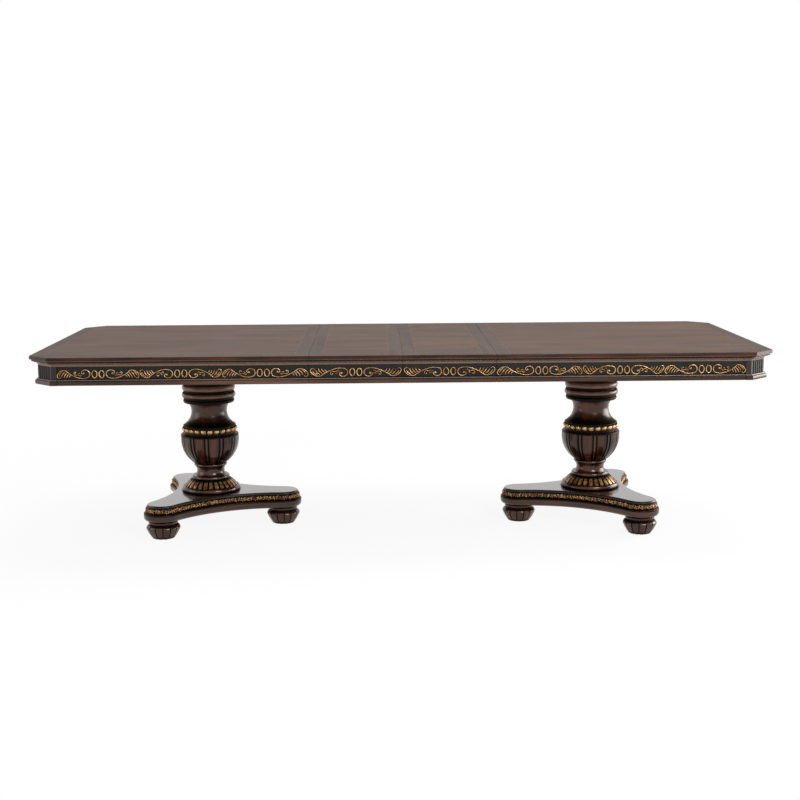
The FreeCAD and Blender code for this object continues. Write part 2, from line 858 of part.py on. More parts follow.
def make_bowl():
    """Gadrooned bowl: broad lobes parted by narrow ribs, under a plain cap."""
    swell = tangent_share(size.bowl_radius - size.bowl_seat_radius, size.bowl_belly)
    rim = size.bowl_belly + size.bowl_rim
    top = rim + size.bowl_cap_height
    body = turned("bowl", [
        (bore, zero),
        (size.bowl_seat_radius, zero, swell),
        (size.bowl_radius, size.bowl_belly),
        (size.bowl_radius, rim - size.bowl_rim_round, RIM_BULGE_SHARE),
        (size.bowl_radius - size.bowl_rim_round, rim),
        (size.bowl_cap_radius, rim),
        (size.bowl_cap_radius, top),
        (bore, top),
    ])
    deep = size.gadroon_depth
    past = size.bowl_radius + size.overrun
    groove_top = rim - size.bowl_rim_round
    groove = [
        (size.bowl_seat_radius - deep, zero, swell),
        (size.bowl_radius - deep, size.bowl_belly),
        (size.bowl_radius - deep, groove_top),
        (past, groove_top),
        (past, zero),
    ]
    half_rib = math.degrees(size.gadroon_rib.number / size.bowl_radius.number / 2)
    groove_round(body, groove, size.gadroon_groove, GADROON_COUNT, (-half_rib, half_rib))
    return keep(place(body, size.pedestal_place, zero, bowl_low), "right_bowl")


def make_stem():
    """Turned stem: a round moulding, a hollow waist and a ring under the bowl."""
    torus = bulged(size.torus_radius, size.torus_height, RING_BULGE_SHARE)
    ring = bulged(size.stem_ring_radius, size.stem_ring_height, RING_BULGE_SHARE)
    flare = size.waist_radius + size.waist_flare
    waist = size.torus_height + size.waist_height / 2
    ring_low = size.torus_height + size.waist_height
    top = ring_low + size.stem_ring_height
    hollow = -tangent_share(size.waist_flare, size.waist_height / 2)
    body = turned("stem", [
        (bore, zero),
        (torus, zero, RING_BULGE_SHARE),
        (torus, size.torus_height),
        (flare, size.torus_height, hollow),
        (size.waist_radius, waist, hollow),
        (flare, ring_low),
        (ring, ring_low, RING_BULGE_SHARE),
        (ring, top),
        (bore, top),
    ])
    return keep(place(body, size.pedestal_place, zero, stem_low), "right_stem")


def make_tongue_collar():
    """Round base disc with a cone of tongues on it."""
    disc = bulged(size.disc_radius, size.disc_height, DISC_BULGE_SHARE)
    top = size.disc_height + size.collar_height
    body = turned("tongue_collar", [
        (bore, zero),
        (disc, zero, DISC_BULGE_SHARE),
        (disc, size.disc_height),
        (size.collar_foot_radius, size.disc_height, COLLAR_BULGE_SHARE),
        (size.collar_head_radius, top),
        (bore, top),
    ])
    deep = size.tongue_depth
    past = size.collar_foot_radius + size.overrun
    groove = [
        (size.collar_foot_radius - deep, size.disc_height, COLLAR_BULGE_SHARE),
        (size.collar_head_radius - deep, top),
        (past, top),
        (past, size.disc_height),
    ]
    groove_round(body, groove, size.tongue_groove, TONGUE_COUNT)
    return keep(place(body, size.pedestal_place, zero, plinth_top), "right_tongue_collar")


def plinth_outline(inset):
    """Plan of the plinth: round lobes over the feet joined by hollow sides, one lobe pointing inwards."""
    reach = size.foot_circle
    lobe = size.plinth_lobe - inset
    waist = size.plinth_waist - inset
    hollow = (waist * waist + reach * reach - waist * reach - lobe * lobe) / (reach + lobe * 2 - waist * 2)
    centre = waist + hollow
    pull = lobe / (hollow + lobe)
    step = math.pi / LOBE_COUNT
    touch_along = reach + (centre * math.cos(step) - reach) * pull
    touch_across = centre * math.sin(step) * pull
    lobe_turn = math.atan2(touch_across.number, (touch_along - reach).number)
    half_chord = (touch_along * math.sin(step) - touch_across * math.cos(step)).number
    side_turn = math.asin(half_chord / hollow.number)
    lobe_share = math.tan(lobe_turn / 2) / 2
    side_share = math.tan(side_turn / 2) / 2
    corners = []
    for i in range(LOBE_COUNT):
        angle = math.pi + 2 * step * i
        for way, bulge in ((-1, lobe_share), (1, -side_share)):
            corners.append((
                touch_along * math.cos(angle) - touch_across * (math.sin(angle) * way),
                touch_along * math.sin(angle) + touch_across * (math.cos(angle) * way),
                bulge,
            ))
    return corners


def along_outline(level, corners):
    """A test for the edges that run along an outline at a height."""
    spots = [(corner[0].number, corner[1].number) for corner in corners]

    def chosen(edge):
        ends = [(vertex.X, vertex.Y) for vertex in edge.Vertexes]
        near = [any(matches(math.dist(end, spot), 0) for spot in spots) for end in ends]
        return on_level(edge, level) and all(near)

    return chosen


def make_plinth():
    """Plinth in three pieces: a base with a raised core, a band round the core and a top board."""
    core = size.band_inset + size.band_thickness
    base = add_body("plinth_base")
    base_plan = draw(add_sketch(base, "base_plan", "XY_Plane", plinth_low), plinth_outline(zero))
    pad(base, base_plan, size.plinth_base_height)
    rim_round = lesser(size.plinth_rim_round, size.plinth_base_height * FILLET_SHARE / 2)
    base_round = lesser(size.plinth_base_round, (size.plinth_base_height - rim_round) * FILLET_SHARE)
    round_edges(base, base_round, lambda edge: on_level(edge, plinth_low))
    round_edges(base, rim_round, lambda edge: on_level(edge, band_low))
    core_plan = draw(add_sketch(base, "core_plan", "XY_Plane", band_low), plinth_outline(core))
    pad(base, core_plan, size.band_height)
    drill = add_sketch(base, "base_bore", "XY_Plane", plinth_low)
    draw_circle(drill, zero, zero, bore)
    cut_through(base, drill)
    recess = add_sketch(base, "base_recess", "XY_Plane", plinth_low)
    draw_circle(recess, zero, zero, recess_radius)
    cut_depth(base, recess, recess_depth, up=True)

    band = add_body("gilt_band")
    ring = add_sketch(band, "band_plan", "XY_Plane", band_low)
    draw(ring, plinth_outline(size.band_inset))
    draw(ring, plinth_outline(core))
    pad(band, ring, size.band_height)
    band_round = lesser(size.band_round, size.band_thickness * FILLET_SHARE)
    round_edges(band, band_round, along_outline(plinth_top_low, plinth_outline(size.band_inset)))

    board = add_body("plinth_top")
    board_outline = plinth_outline(size.plinth_top_inset)
    plan = draw(add_sketch(board, "board_plan", "XY_Plane", plinth_top_low), board_outline)
    draw_circle(plan, zero, zero, bore)
    pad(board, plan, size.plinth_top_height)
    board_round = lesser(size.plinth_top_round, size.plinth_top_height * FILLET_SHARE)
    round_edges(board, board_round, along_outline(plinth_top, board_outline))
    for body in (base, band, board):
        place(body, size.pedestal_place, zero, zero, PLINTH_TURN)
    return [
        keep(base, "right_plinth_base"),
        keep(band, "right_gilt_band"),
        keep(board, "right_plinth_top"),
    ]


def make_foot(name, turn):
    """A gadrooned bun foot under one lobe of the plinth."""
    ring = bulged(size.foot_ring_radius, size.foot_ring_height, FOOT_RING_BULGE_SHARE)
    body = turned(name, [
        (zero, zero),
        (size.foot_base_radius, zero, FOOT_SIDE_BULGE_SHARE),
        (size.foot_radius, size.foot_belly, FOOT_SHOULDER_BULGE_SHARE),
        (size.foot_shoulder_radius, foot_shoulder),
        (size.foot_neck_radius, foot_shoulder),
        (size.foot_neck_radius, foot_ring_low),
        (ring, foot_ring_low, FOOT_RING_BULGE_SHARE),
        (ring, plinth_low),
        (zero, plinth_low),
    ])
    deep = size.foot_groove_depth
    past = size.foot_radius + size.overrun
    groove = [
        (size.foot_base_radius - deep, zero, FOOT_SIDE_BULGE_SHARE),
        (size.foot_radius - deep, size.foot_belly, FOOT_SHOULDER_BULGE_SHARE),
        (size.foot_shoulder_radius - deep, foot_shoulder),
        (past, foot_shoulder),
        (past, zero),
    ]
    groove_round(body, groove, size.foot_groove, FOOT_LOBE_COUNT)
    across = size.pedestal_place + size.foot_circle * math.cos(turn)
    return place(body, across, size.foot_circle * math.sin(turn), zero)


def make_feet():
    inner_turn = math.pi + math.radians(PLINTH_TURN)
    turns = [inner_turn + 2 * math.pi * i / LOBE_COUNT for i in range(LOBE_COUNT)]
    feet = [make_foot(f"foot_{i}", turn) for i, turn in enumerate(turns)]
    return keep(group("foot_set", feet), "right_feet")


# Fasteners

def washer(name, up):
    body = add_body(name)
    plan = add_sketch(body, f"{name}_plan", "XY_Plane", up)
    draw_circle(plan, zero, zero, size.washer_radius)
    draw_circle(plan, zero, zero, size.rod_radius + size.thread_clearance)
    pad(body, plan, size.washer_thickness)
    return place(body, size.pedestal_place, zero, zero)


def nut(name, up):
    body = add_body(name)
    plan = add_sketch(body, f"{name}_plan", "XY_Plane", up)
    turns = [2 * math.pi * i / HEX_SIDES for i in range(HEX_SIDES)]
    draw(plan, [(size.nut_radius * math.cos(turn), size.nut_radius * math.sin(turn)) for turn in turns])
    draw_circle(plan, zero, zero, size.rod_radius + size.thread_clearance)
    pad(body, plan, size.nut_height)
    return place(body, size.pedestal_place, zero, zero)


def make_tie_rod():
    """Rod that draws the pedestal together, with a washer and nut sunk in the plate and in the plinth."""
    low_seat = plinth_low + recess_depth
    high_seat = slab_low - recess_depth
    low = low_seat - size.washer_thickness - size.nut_height - size.rod_tail
    high = high_seat + size.washer_thickness + size.nut_height + size.rod_tail
    rod = doc.addObject("Part::Cylinder", "rod")
    rod.setExpression("Radius", size.rod_radius.text)
    rod.setExpression("Height", (high - low).text)
    place(rod, size.pedestal_place, zero, low)
    members = [
        rod,
        washer("low_washer", low_seat - size.washer_thickness),
        nut("low_nut", low_seat - size.washer_thickness - size.nut_height),
        washer("high_washer", high_seat),
        nut("high_nut", high_seat + size.washer_thickness),
    ]
    return keep(group("rod_set", members), "right_tie_rod")


def screw(name, across, along, seat, grip):
    """A screw with its head under a piece, through it and up into the top."""
    top = grip + screw_bite
    head = size.screw_head_height
    body = turned(name, [
        (zero, -head),
        (size.screw_head_radius, -head),
        (size.screw_head_radius, zero),
        (size.screw_radius, zero),
        (size.screw_radius, top),
        (zero, top),
    ])
    return place(body, across, along, seat)


def make_screws():
    screws = []
    for i, (across, along) in enumerate(plate_screw_spots):
        screws.append(screw(f"plate_screw_{i}", across, along, plate_low, size.plate_thickness))
    for i, (across, along) in enumerate(runner_screw_spots):
        screws.append(screw(f"runner_screw_{i}", across, along, runner_low, size.runner_height))
    return keep(group("screw_set", screws), "right_screws")


# Table locks

LOCK_SIDES = {"front": -1, "back": 1}


def screwed_plate(name):
    """A lock's plate, flat against the underside of a panel."""
    body = add_body(name)
    half_long = size.lock_plate_length / 2
    half_wide = size.lock_plate_width / 2
    plan = add_sketch(body, f"{name}_plan", "XY_Plane")
    corners = [(i * half_wide, j * half_long) for i, j in ((-1, -1), (1, -1), (1, 1), (-1, 1))]
    pad(body, draw(plan, corners), size.lock_plate_thickness, down=True)
    return body


def lock_plate(name, across, along):
    """Plate under a panel with the headed pin that a lever swings on."""
    body = screwed_plate(name)
    pin = add_sketch(body, f"{name}_pin", "XY_Plane", -size.lock_plate_thickness)
    draw_circle(pin, zero, zero, size.pivot_radius)
    pin_length = size.lever_gap * 2 + size.lever_thickness
    pad(body, pin, pin_length, down=True)
    head = add_sketch(body, f"{name}_head", "XY_Plane", -(size.lock_plate_thickness + pin_length))
    draw_circle(head, zero, zero, size.pivot_head_radius)
    pad(body, head, size.pivot_head_height, down=True)
    return place(body, across, along, slab_low)


def lock_keeper(name, across, along):
    """Plate under the next panel with the post that a lever hooks round."""
    body = screwed_plate(name)
    post = add_sketch(body, f"{name}_post", "XY_Plane", -size.lock_plate_thickness)
    draw_circle(post, zero, zero, size.keeper_radius)
    pad(body, post, size.lever_gap + size.lever_thickness + size.keeper_tail, down=True)
    return place(body, across, along, slab_low)


def lock_lever(name, across, along, way):
    """Swing lever that lies along the seam, with its open hook on the side that it swings to."""
    body = add_body(name)
    half = size.lever_width / 2
    plan = add_sketch(body, f"{name}_plan", "XY_Plane")
    corners = [
        (-half, -size.lever_grip),
        (half, -size.lever_grip),
        (half, keeper_reach - keeper_slot),
        (-keeper_slot, keeper_reach - keeper_slot),
        (-keeper_slot, keeper_reach + keeper_slot),
        (half, keeper_reach + keeper_slot),
        (half, lever_tip),
        (-half, lever_tip),
    ]
    draw(plan, [(x, y * -way) for x, y in corners])
    draw_circle(plan, zero, zero, size.pivot_radius + size.pivot_clearance)
    pad(body, plan, size.lever_thickness, down=True)
    return keep(place(body, across, along, lever_top), name)


def make_locks():
    """Levers, plates and keepers across the three seams, at the front and at the back."""
    plates = []
    keepers = []
    for i, joined in enumerate(("left", "middle", "right")):
        line = panel_step * (i - 1)
        left_edge = line - size.seam_gap / 2
        right_edge = line + size.seam_gap / 2
        pairs = {"plate": [], "keeper": []}
        for side, way in LOCK_SIDES.items():
            along = lock_line * way
            pivot = left_edge - lock_setback
            pairs["plate"].append(lock_plate(f"{joined}_{side}_plate", pivot, along))
            post = right_edge + keeper_setback
            pairs["keeper"].append(lock_keeper(f"{joined}_{side}_keeper", post, along))
            lock_lever(f"{joined}_{side}_lock_lever", pivot, along, way)
        plates.append(pairs["plate"])
        keepers.append(pairs["keeper"])
    keep(group("left_plates", plates[0]), "left_lock_plates")
    keep(group("leaf_left_fittings", keepers[0] + plates[1]), "leaf_left_lock_fittings")
    keep(group("leaf_right_fittings", keepers[1] + plates[2]), "leaf_right_lock_fittings")
    keep(group("right_keepers", keepers[2]), "right_lock_keepers")


# Assembly

# Words of a label that change when a piece is turned half round
TURNED_WORDS = {"right": "left", "front": "back", "back": "front"}


def turned_label(label):
    """Label of the left half's piece, on which front and back change places too."""
    return "_".join(TURNED_WORDS.get(word, word) for word in label.split("_"))


def turned_copy(source, label, turn=HALF_TURN):
    """The left half's piece: the right half's turned by some degrees, with its column where the left one is."""
    part = group(f"{source.Name}_left", [source])
    angle = math.radians(turn)
    across = size.pedestal_place * -(1 + math.cos(angle))
    return keep(place(part, across, size.pedestal_place * -math.sin(angle), zero, turn), label)


def moved_copy(source, label):
    """The left leaf's piece: the right leaf's moved one leaf to the left."""
    part = group(f"{source.Name}_left", [source])
    return keep(place(part, -panel_step, zero, zero), label)


def make_right_half():
    pieces = [make_panel("right_top", panel_outline, [seam], plate_screw_spots + runner_screw_spots)]
    pieces.append(make_cove())
    pieces += make_rails()
    pieces += [make_posts(), make_base_moulding(), make_right_runners()]
    pieces += [make_head_plate(), make_column(), make_bead_collar(), make_bowl(), make_stem()]
    pieces += [make_tongue_collar(), make_tie_rod(), make_screws()]
    return pieces


def check_and_write():
    """Stops on any failed object or unsound sub-part, then writes each sub-part to its own file."""
    for item in doc.Objects:
        if "Invalid" in item.State or "Error" in item.State:
            raise RuntimeError(f"{item.Label} failed: {item.State}")
    for part in nodes:
        if part.Shape.isNull() or not part.Shape.isValid() or not part.Shape.Solids:
            raise RuntimeError(f"{part.Label} has no sound solid")
    os.makedirs("parts", exist_ok=True)
    for part in nodes:
        part.Shape.exportStep(f"parts/{part.Label}.step")
        print(f"{part.Label}: {len(part.Shape.Solids)} solids, {part.Shape.Volume / 1000:.1f} cm3")


for piece in make_right_half():
    turned_copy(piece, turned_label(piece.Label))
for piece in make_plinth() + [make_feet()]:
    turned_copy(piece, turned_label(piece.Label), HALF_TURN - 2 * PLINTH_TURN)
for piece in make_leaf():
    moved_copy(piece, piece.Label.replace("leaf_right_", "leaf_left_", 1))
make_centre_frame()
make_locks()
doc.recompute()
check_and_write()
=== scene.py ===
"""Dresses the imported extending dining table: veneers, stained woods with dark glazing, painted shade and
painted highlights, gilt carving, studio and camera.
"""

import json
import logging
import math
from collections.abc import Sequence
from dataclasses import dataclass, field
from enum import Enum
from typing import Any, Optional, Union

import bmesh
import bpy
from mathutils import Color, Matrix, Vector
from mathutils.geometry import interpolate_bezier

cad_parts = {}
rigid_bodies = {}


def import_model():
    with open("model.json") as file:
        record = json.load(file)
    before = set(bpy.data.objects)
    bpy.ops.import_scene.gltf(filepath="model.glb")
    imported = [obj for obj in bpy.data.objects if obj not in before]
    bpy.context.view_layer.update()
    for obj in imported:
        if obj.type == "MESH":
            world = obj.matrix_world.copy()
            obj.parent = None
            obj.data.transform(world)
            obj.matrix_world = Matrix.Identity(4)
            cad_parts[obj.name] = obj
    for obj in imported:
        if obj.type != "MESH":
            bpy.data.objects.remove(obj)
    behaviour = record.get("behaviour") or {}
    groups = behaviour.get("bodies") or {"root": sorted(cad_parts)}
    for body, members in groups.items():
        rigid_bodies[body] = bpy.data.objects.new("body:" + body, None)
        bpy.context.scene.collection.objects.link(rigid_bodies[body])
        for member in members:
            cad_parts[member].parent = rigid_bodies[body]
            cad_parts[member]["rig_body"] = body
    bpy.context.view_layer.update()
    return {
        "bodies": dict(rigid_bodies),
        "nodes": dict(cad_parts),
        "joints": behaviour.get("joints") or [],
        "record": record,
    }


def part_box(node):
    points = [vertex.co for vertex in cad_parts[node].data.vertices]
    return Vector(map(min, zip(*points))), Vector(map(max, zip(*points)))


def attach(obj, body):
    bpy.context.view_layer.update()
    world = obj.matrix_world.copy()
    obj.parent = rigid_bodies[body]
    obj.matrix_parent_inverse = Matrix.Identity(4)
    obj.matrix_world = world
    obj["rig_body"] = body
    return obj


MM = 0.001
WHITE = (1.0, 1.0, 1.0, 1.0)
PHOTO_SIDE = 800
SENSOR = 36.0
# Samples of the nodes that look round a place on a surface
HOLLOW_SAMPLES = 8
EDGE_SAMPLES = 4
# Sockets of a Mix node that mixes colours
MIX_SHARE = 0
MIX_LOW = 6
MIX_HIGH = 7
MIX_RESULT = 2
# What the way between a place's neighbours is divided by, for a smooth curve through the place
HANDLE = 6
# Lobes of a plinth
LOBES = 3

log = logging.getLogger("dining_table")

Colour = tuple[float, float, float, float]
Flat = tuple[float, float]
Triple = tuple[float, float, float]
Station = tuple[Vector, float]


def tint(code: str) -> Colour:
    """Turns a written colour into the linear colour that nodes take.

    Args:
        code: Six hexadecimal digits after a hash sign.

    Returns:
        Red, green, blue and an alpha of 1.
    """
    parts = [int(code[i:i + 2], 16) / 255 for i in (1, 3, 5)]
    return (*Color(parts).from_srgb_to_scene_linear(), 1.0)


class Wire:
    """A node's output socket that takes part in Python expressions."""

    def __init__(self, bench: "Bench", socket: Optional[bpy.types.NodeSocket]) -> None:
        """Keeps the socket and the bench whose nodes it belongs to."""
        self.bench = bench
        self.socket = socket

    def join(self, operation: str, first: "Term", second: "Term" = 0.0) -> "Wire":
        """Adds one Math node, or one Vector Math node where a term is a vector.

        Args:
            operation: The node's operation.
            first: The first term.
            second: The second term.

        Returns:
            The node's result.
        """
        terms = (first, second)
        if not any(is_vector(term) for term in terms):
            return self.bench.add("ShaderNodeMath", {"operation": operation}, dict(enumerate(terms)))
        vectors = [(term,) * 3 if isinstance(term, (int, float)) else term for term in terms]
        return self.bench.add("ShaderNodeVectorMath", {"operation": operation}, dict(enumerate(vectors)))

    def __add__(self, other: "Term") -> "Wire":
        """Adds a term."""
        return self.join("ADD", self, other)

    __radd__ = __add__

    def __sub__(self, other: "Term") -> "Wire":
        """Takes a term away."""
        return self.join("SUBTRACT", self, other)

    def __rsub__(self, other: "Term") -> "Wire":
        """Takes this value away from a term."""
        return self.join("SUBTRACT", other, self)

    def __mul__(self, other: "Term") -> "Wire":
        """Multiplies by a term."""
        return self.join("MULTIPLY", self, other)

    __rmul__ = __mul__

    def __truediv__(self, other: "Term") -> "Wire":
        """Divides by a term."""
        return self.join("DIVIDE", self, other)

    def __rtruediv__(self, other: "Term") -> "Wire":
        """Divides a term by this value."""
        return self.join("DIVIDE", other, self)

    def __abs__(self) -> "Wire":
        """Drops the sign."""
        return self.join("ABSOLUTE", self)

    def fraction(self) -> "Wire":
        """Drops the whole number."""
        return self.join("FRACT", self)

    def length(self) -> "Wire":
        """Measures a vector."""
        return self.bench.add("ShaderNodeVectorMath", {"operation": "LENGTH"}, {0: self}, "Value")

    def least(self, other: "Term") -> "Wire":
        """Takes the smaller of two values."""
        return self.join("MINIMUM", self, other)

    def most(self, other: "Term") -> "Wire":
        """Takes the larger of two values."""
        return self.join("MAXIMUM", self, other)

    def rise(self, low: float, high: float) -> "Wire":
        """Goes smoothly from 0 at low to 1 at high, or down from 1 where low is above high.

        Args:
            low: The value that gives 0.
            high: The value that gives 1.

        Returns:
            The smooth step.
        """
        sockets = {"Value": self, "From Min": low, "From Max": high}
        return self.bench.add("ShaderNodeMapRange", {"interpolation_type": "SMOOTHSTEP"}, sockets)


Term = Union[Wire, float, Triple]


def is_vector(term: Term) -> bool:
    """Tells whether a term of an expression is a vector."""
    return isinstance(term, tuple) or (isinstance(term, Wire) and term.socket.type == "VECTOR")


class Bench:
    """The nodes of one material or world."""

    def __init__(self, tree: bpy.types.NodeTree) -> None:
        """Starts from an empty node tree."""
        self.tree = tree
        tree.nodes.clear()

    def add(
        self,
        kind: str,
        settings: Optional[dict[str, Any]] = None,
        sockets: Optional[dict[Any, Any]] = None,
        output: Union[int, str] = 0,
    ) -> Wire:
        """Adds a node.

        Args:
            kind: The node's type.
            settings: Its properties, with a ramp's stops under the name stops.
            sockets: Values or wires for its inputs, by name or number.
            output: The output to return.

        Returns:
            That output, or a wire with no socket where the node has no output.
        """
        node = self.tree.nodes.new(kind)
        for name, value in (settings or {}).items():
            if name == "stops":
                self._set_stops(node.color_ramp.elements, value)
            else:
                setattr(node, name, value)
        for key, value in (sockets or {}).items():
            if isinstance(value, Wire):
                self.tree.links.new(value.socket, node.inputs[key])
            else:
                node.inputs[key].default_value = value
        return Wire(self, node.outputs[output] if len(node.outputs) else None)

    @staticmethod
    def _set_stops(elements: bpy.types.ColorRampElements, stops: Sequence[tuple[float, Colour]]) -> None:
        """Sets a ramp's stops.

        Args:
            elements: The ramp's elements.
            stops: Places and colours, in rising order.
        """
        for _ in range(len(stops) - len(elements)):
            elements.new(1.0)
        for element, (position, colour) in zip(elements, stops):
            element.position = position
            element.color = colour

    def place(self) -> Wire:
        """Gives the point's place on its piece, in metres, as at rest."""
        return self.add("ShaderNodeTexCoord", output="Object")

    def facing(self) -> Wire:
        """Gives the way that the surface faces on its piece."""
        return self.add("ShaderNodeTexCoord", output="Normal")

    def height(self) -> Wire:
        """Gives the point's height above the floor."""
        return self.split(self.place())[2]

    def tilt(self) -> Wire:
        """Gives how far the surface faces up, from -1 on an underside to 1 on a top."""
        return self.split(self.facing())[2]

    def seen(self) -> Wire:
        """Tells the rays that show the background: from the camera, a reflection or glass.

        Returns:
            1 for such a ray and 0 for others.
        """
        path = self.add("ShaderNodeLightPath").socket.node.outputs
        rays = [Wire(self, path[f"Is {kind} Ray"]) for kind in ("Camera", "Glossy", "Transmission")]
        return rays[0].most(rays[1]).most(rays[2])

    def split(self, vector: Wire) -> tuple[Wire, Wire, Wire]:
        """Takes a vector apart.

        Args:
            vector: The vector.

        Returns:
            Its x, y and z.
        """
        parts = self.add("ShaderNodeSeparateXYZ", None, {0: vector}).socket.node.outputs
        return (Wire(self, parts[0]), Wire(self, parts[1]), Wire(self, parts[2]))

    def polar(self, centre: float) -> tuple[Wire, Wire, Wire]:
        """Gives a point's place about an upright axis.

        Args:
            centre: The x of the axis, which stands on the table's middle line.

        Returns:
            Its distance from the axis, its angle round it and its height.
        """
        x, y, z = self.split(self.place())
        across = x - centre
        radius = self.unite(across, y, 0.0).length()
        return (radius, radius.join("ARCTAN2", y, across), z)

    def unite(self, x: Term, y: Term, z: Term) -> Wire:
        """Makes a vector of three values."""
        return self.add("ShaderNodeCombineXYZ", None, {0: x, 1: y, 2: z})

    def ramp(self, value: Wire, *stops: tuple[float, str]) -> Wire:
        """Colours a value by a ramp's stops, each a place and a written colour."""
        tints = [(at, tint(code)) for at, code in stops]
        return self.add("ShaderNodeValToRGB", {"stops": tints}, {0: value})

    def mix(self, share: Wire, low: Wire, high: Union[Wire, str]) -> Wire:
        """Mixes two colours.

        Args:
            share: The share of the second colour.
            low: The first colour.
            high: The second colour, which may be a written one.

        Returns:
            The mixed colour.
        """
        second = tint(high) if isinstance(high, str) else high
        sockets = {MIX_SHARE: share, MIX_LOW: low, MIX_HIGH: second}
        return self.add("ShaderNodeMix", {"data_type": "RGBA"}, sockets, MIX_RESULT)

    def mix_shaders(self, share: Wire, first: Wire, second: Wire) -> Wire:
        """Mixes two shaders, by the share of the second."""
        return self.add("ShaderNodeMixShader", None, {0: share, 1: first, 2: second})

    def hollow(self, reach: float, low: float, high: float) -> Wire:
        """Finds the hollows, where dark glazing and painted shade go.

        Args:
            reach: How far away a neighbouring surface still counts, in metres.
            low: How closed in a place is where the glaze begins.
            high: How closed in a place is where it lies thickest.

        Returns:
            A value from 0 in the open to 1 in a deep hollow.
        """
        settings = {"samples": HOLLOW_SAMPLES}
        openness = self.add("ShaderNodeAmbientOcclusion", settings, {"Distance": reach}, "AO")
        return (1 - openness).rise(low, high)

    def soft_edges(self, radius: float) -> Wire:
        """Gives the surface's facing with its arrises rubbed round."""
        return self.add("ShaderNodeBevel", {"samples": EDGE_SAMPLES}, {"Radius": radius})

    def relief(self, height: Wire, depth: float, facing: Optional[Wire] = None) -> Wire:
        """Raises the surface a little by a height from 0 to 1.

        Args:
            height: The height.
            depth: How far the full height stands up, in metres.
            facing: The facing that it starts from.

        Returns:
            The new facing.
        """
        sockets = {"Strength": 1.0, "Distance": depth, "Height": height}
        if facing is not None:
            sockets["Normal"] = facing
        return self.add("ShaderNodeBump", None, sockets)

    def shader(self, colour: Wire, roughness: Wire, **others: Any) -> Wire:
        """Adds the surface shader.

        Args:
            colour: The base colour.
            roughness: The roughness.
            others: Other sockets, with underscores for spaces.

        Returns:
            The shader.
        """
        sockets = {"Base Color": colour, "Roughness": roughness}
        sockets.update({name.replace("_", " "): value for name, value in others.items()})
        return self.add("ShaderNodeBsdfPrincipled", None, sockets)


@dataclass(frozen=True)
class Layer:
    """A layer of cloudy noise, and the share that it has in a tone, a colour or a roughness."""

    scale: float = 1.0
    detail: float = 4.0
    distortion: float = 0.0
    stretch: Optional[Triple] = None
    share: float = 1.0

    def read(self, place: Wire) -> Wire:
        """Reads the layer.

        Args:
            place: Where it is read.

        Returns:
            A value about 0.5.
        """
        spot = place * self.stretch if self.stretch else place
        sockets = {"Vector": spot, "Scale": self.scale, "Detail": self.detail}
        sockets["Distortion"] = self.distortion
        return place.bench.add("ShaderNodeTexNoise", None, sockets)


def grained(place: Wire, *layers: Layer) -> tuple[Wire, Wire]:
    """Adds up layers of grain by their shares.

    Args:
        place: Where they are read.
        layers: The layers, the finest last.

    Returns:
        The tone, and the finest layer alone.
    """
    values = [layer.read(place) for layer in layers]
    tone = values[0] * layers[0].share
    for value, layer in zip(values[1:], layers[1:]):
        tone = tone + value * layer.share
    return tone, values[-1]


class Grain(Enum):
    """Which way the wood's grain runs."""

    UPRIGHT = "up the piece"
    LENGTHWISE = "along the face it is on"
    FLAT = "along the table"


@dataclass(frozen=True)
class Finish:
    """A surface finish, made into a material once."""

    name: str
    slot: str

    def paint(self, bench: Bench) -> Wire:
        """Builds the finish and returns its shader."""
        raise NotImplementedError

    def material(self) -> bpy.types.Material:
        """Gives the finish's material.

        Returns:
            The material, made at the first call.
        """
        found = bpy.data.materials.get(self.name)
        if found is None:
            found = bpy.data.materials.new(self.name)
            found.use_nodes = True
            bench = Bench(found.node_tree)
            bench.add("ShaderNodeOutputMaterial", None, {"Surface": self.paint(bench)})
        return found

    def dress(self, node: bpy.types.Object) -> None:
        """Gives a node of the frame this finish."""
        for material_slot in node.material_slots:
            material_slot.material = self.material()


@dataclass(frozen=True)
class Zone:
    """A band of heights on a piece with another tone over it: a tone of the piece's own, painted shade or a
    painted highlight.
    """

    low: float
    high: float
    tone: str
    share: float
    fade: float = 1.5 * MM
    # Whether the band also joins the dark glazing and painted shade, which takes away its shine
    dull: bool = False

    def cover(self, height: Wire) -> Wire:
        """Tells how far the zone's tone covers a height.

        Args:
            height: The height above the floor.

        Returns:
            0 outside the zone and its share inside.
        """
        above = height.rise(self.low - self.fade, self.low + self.fade)
        return above * height.rise(self.high + self.fade, self.high - self.fade) * self.share


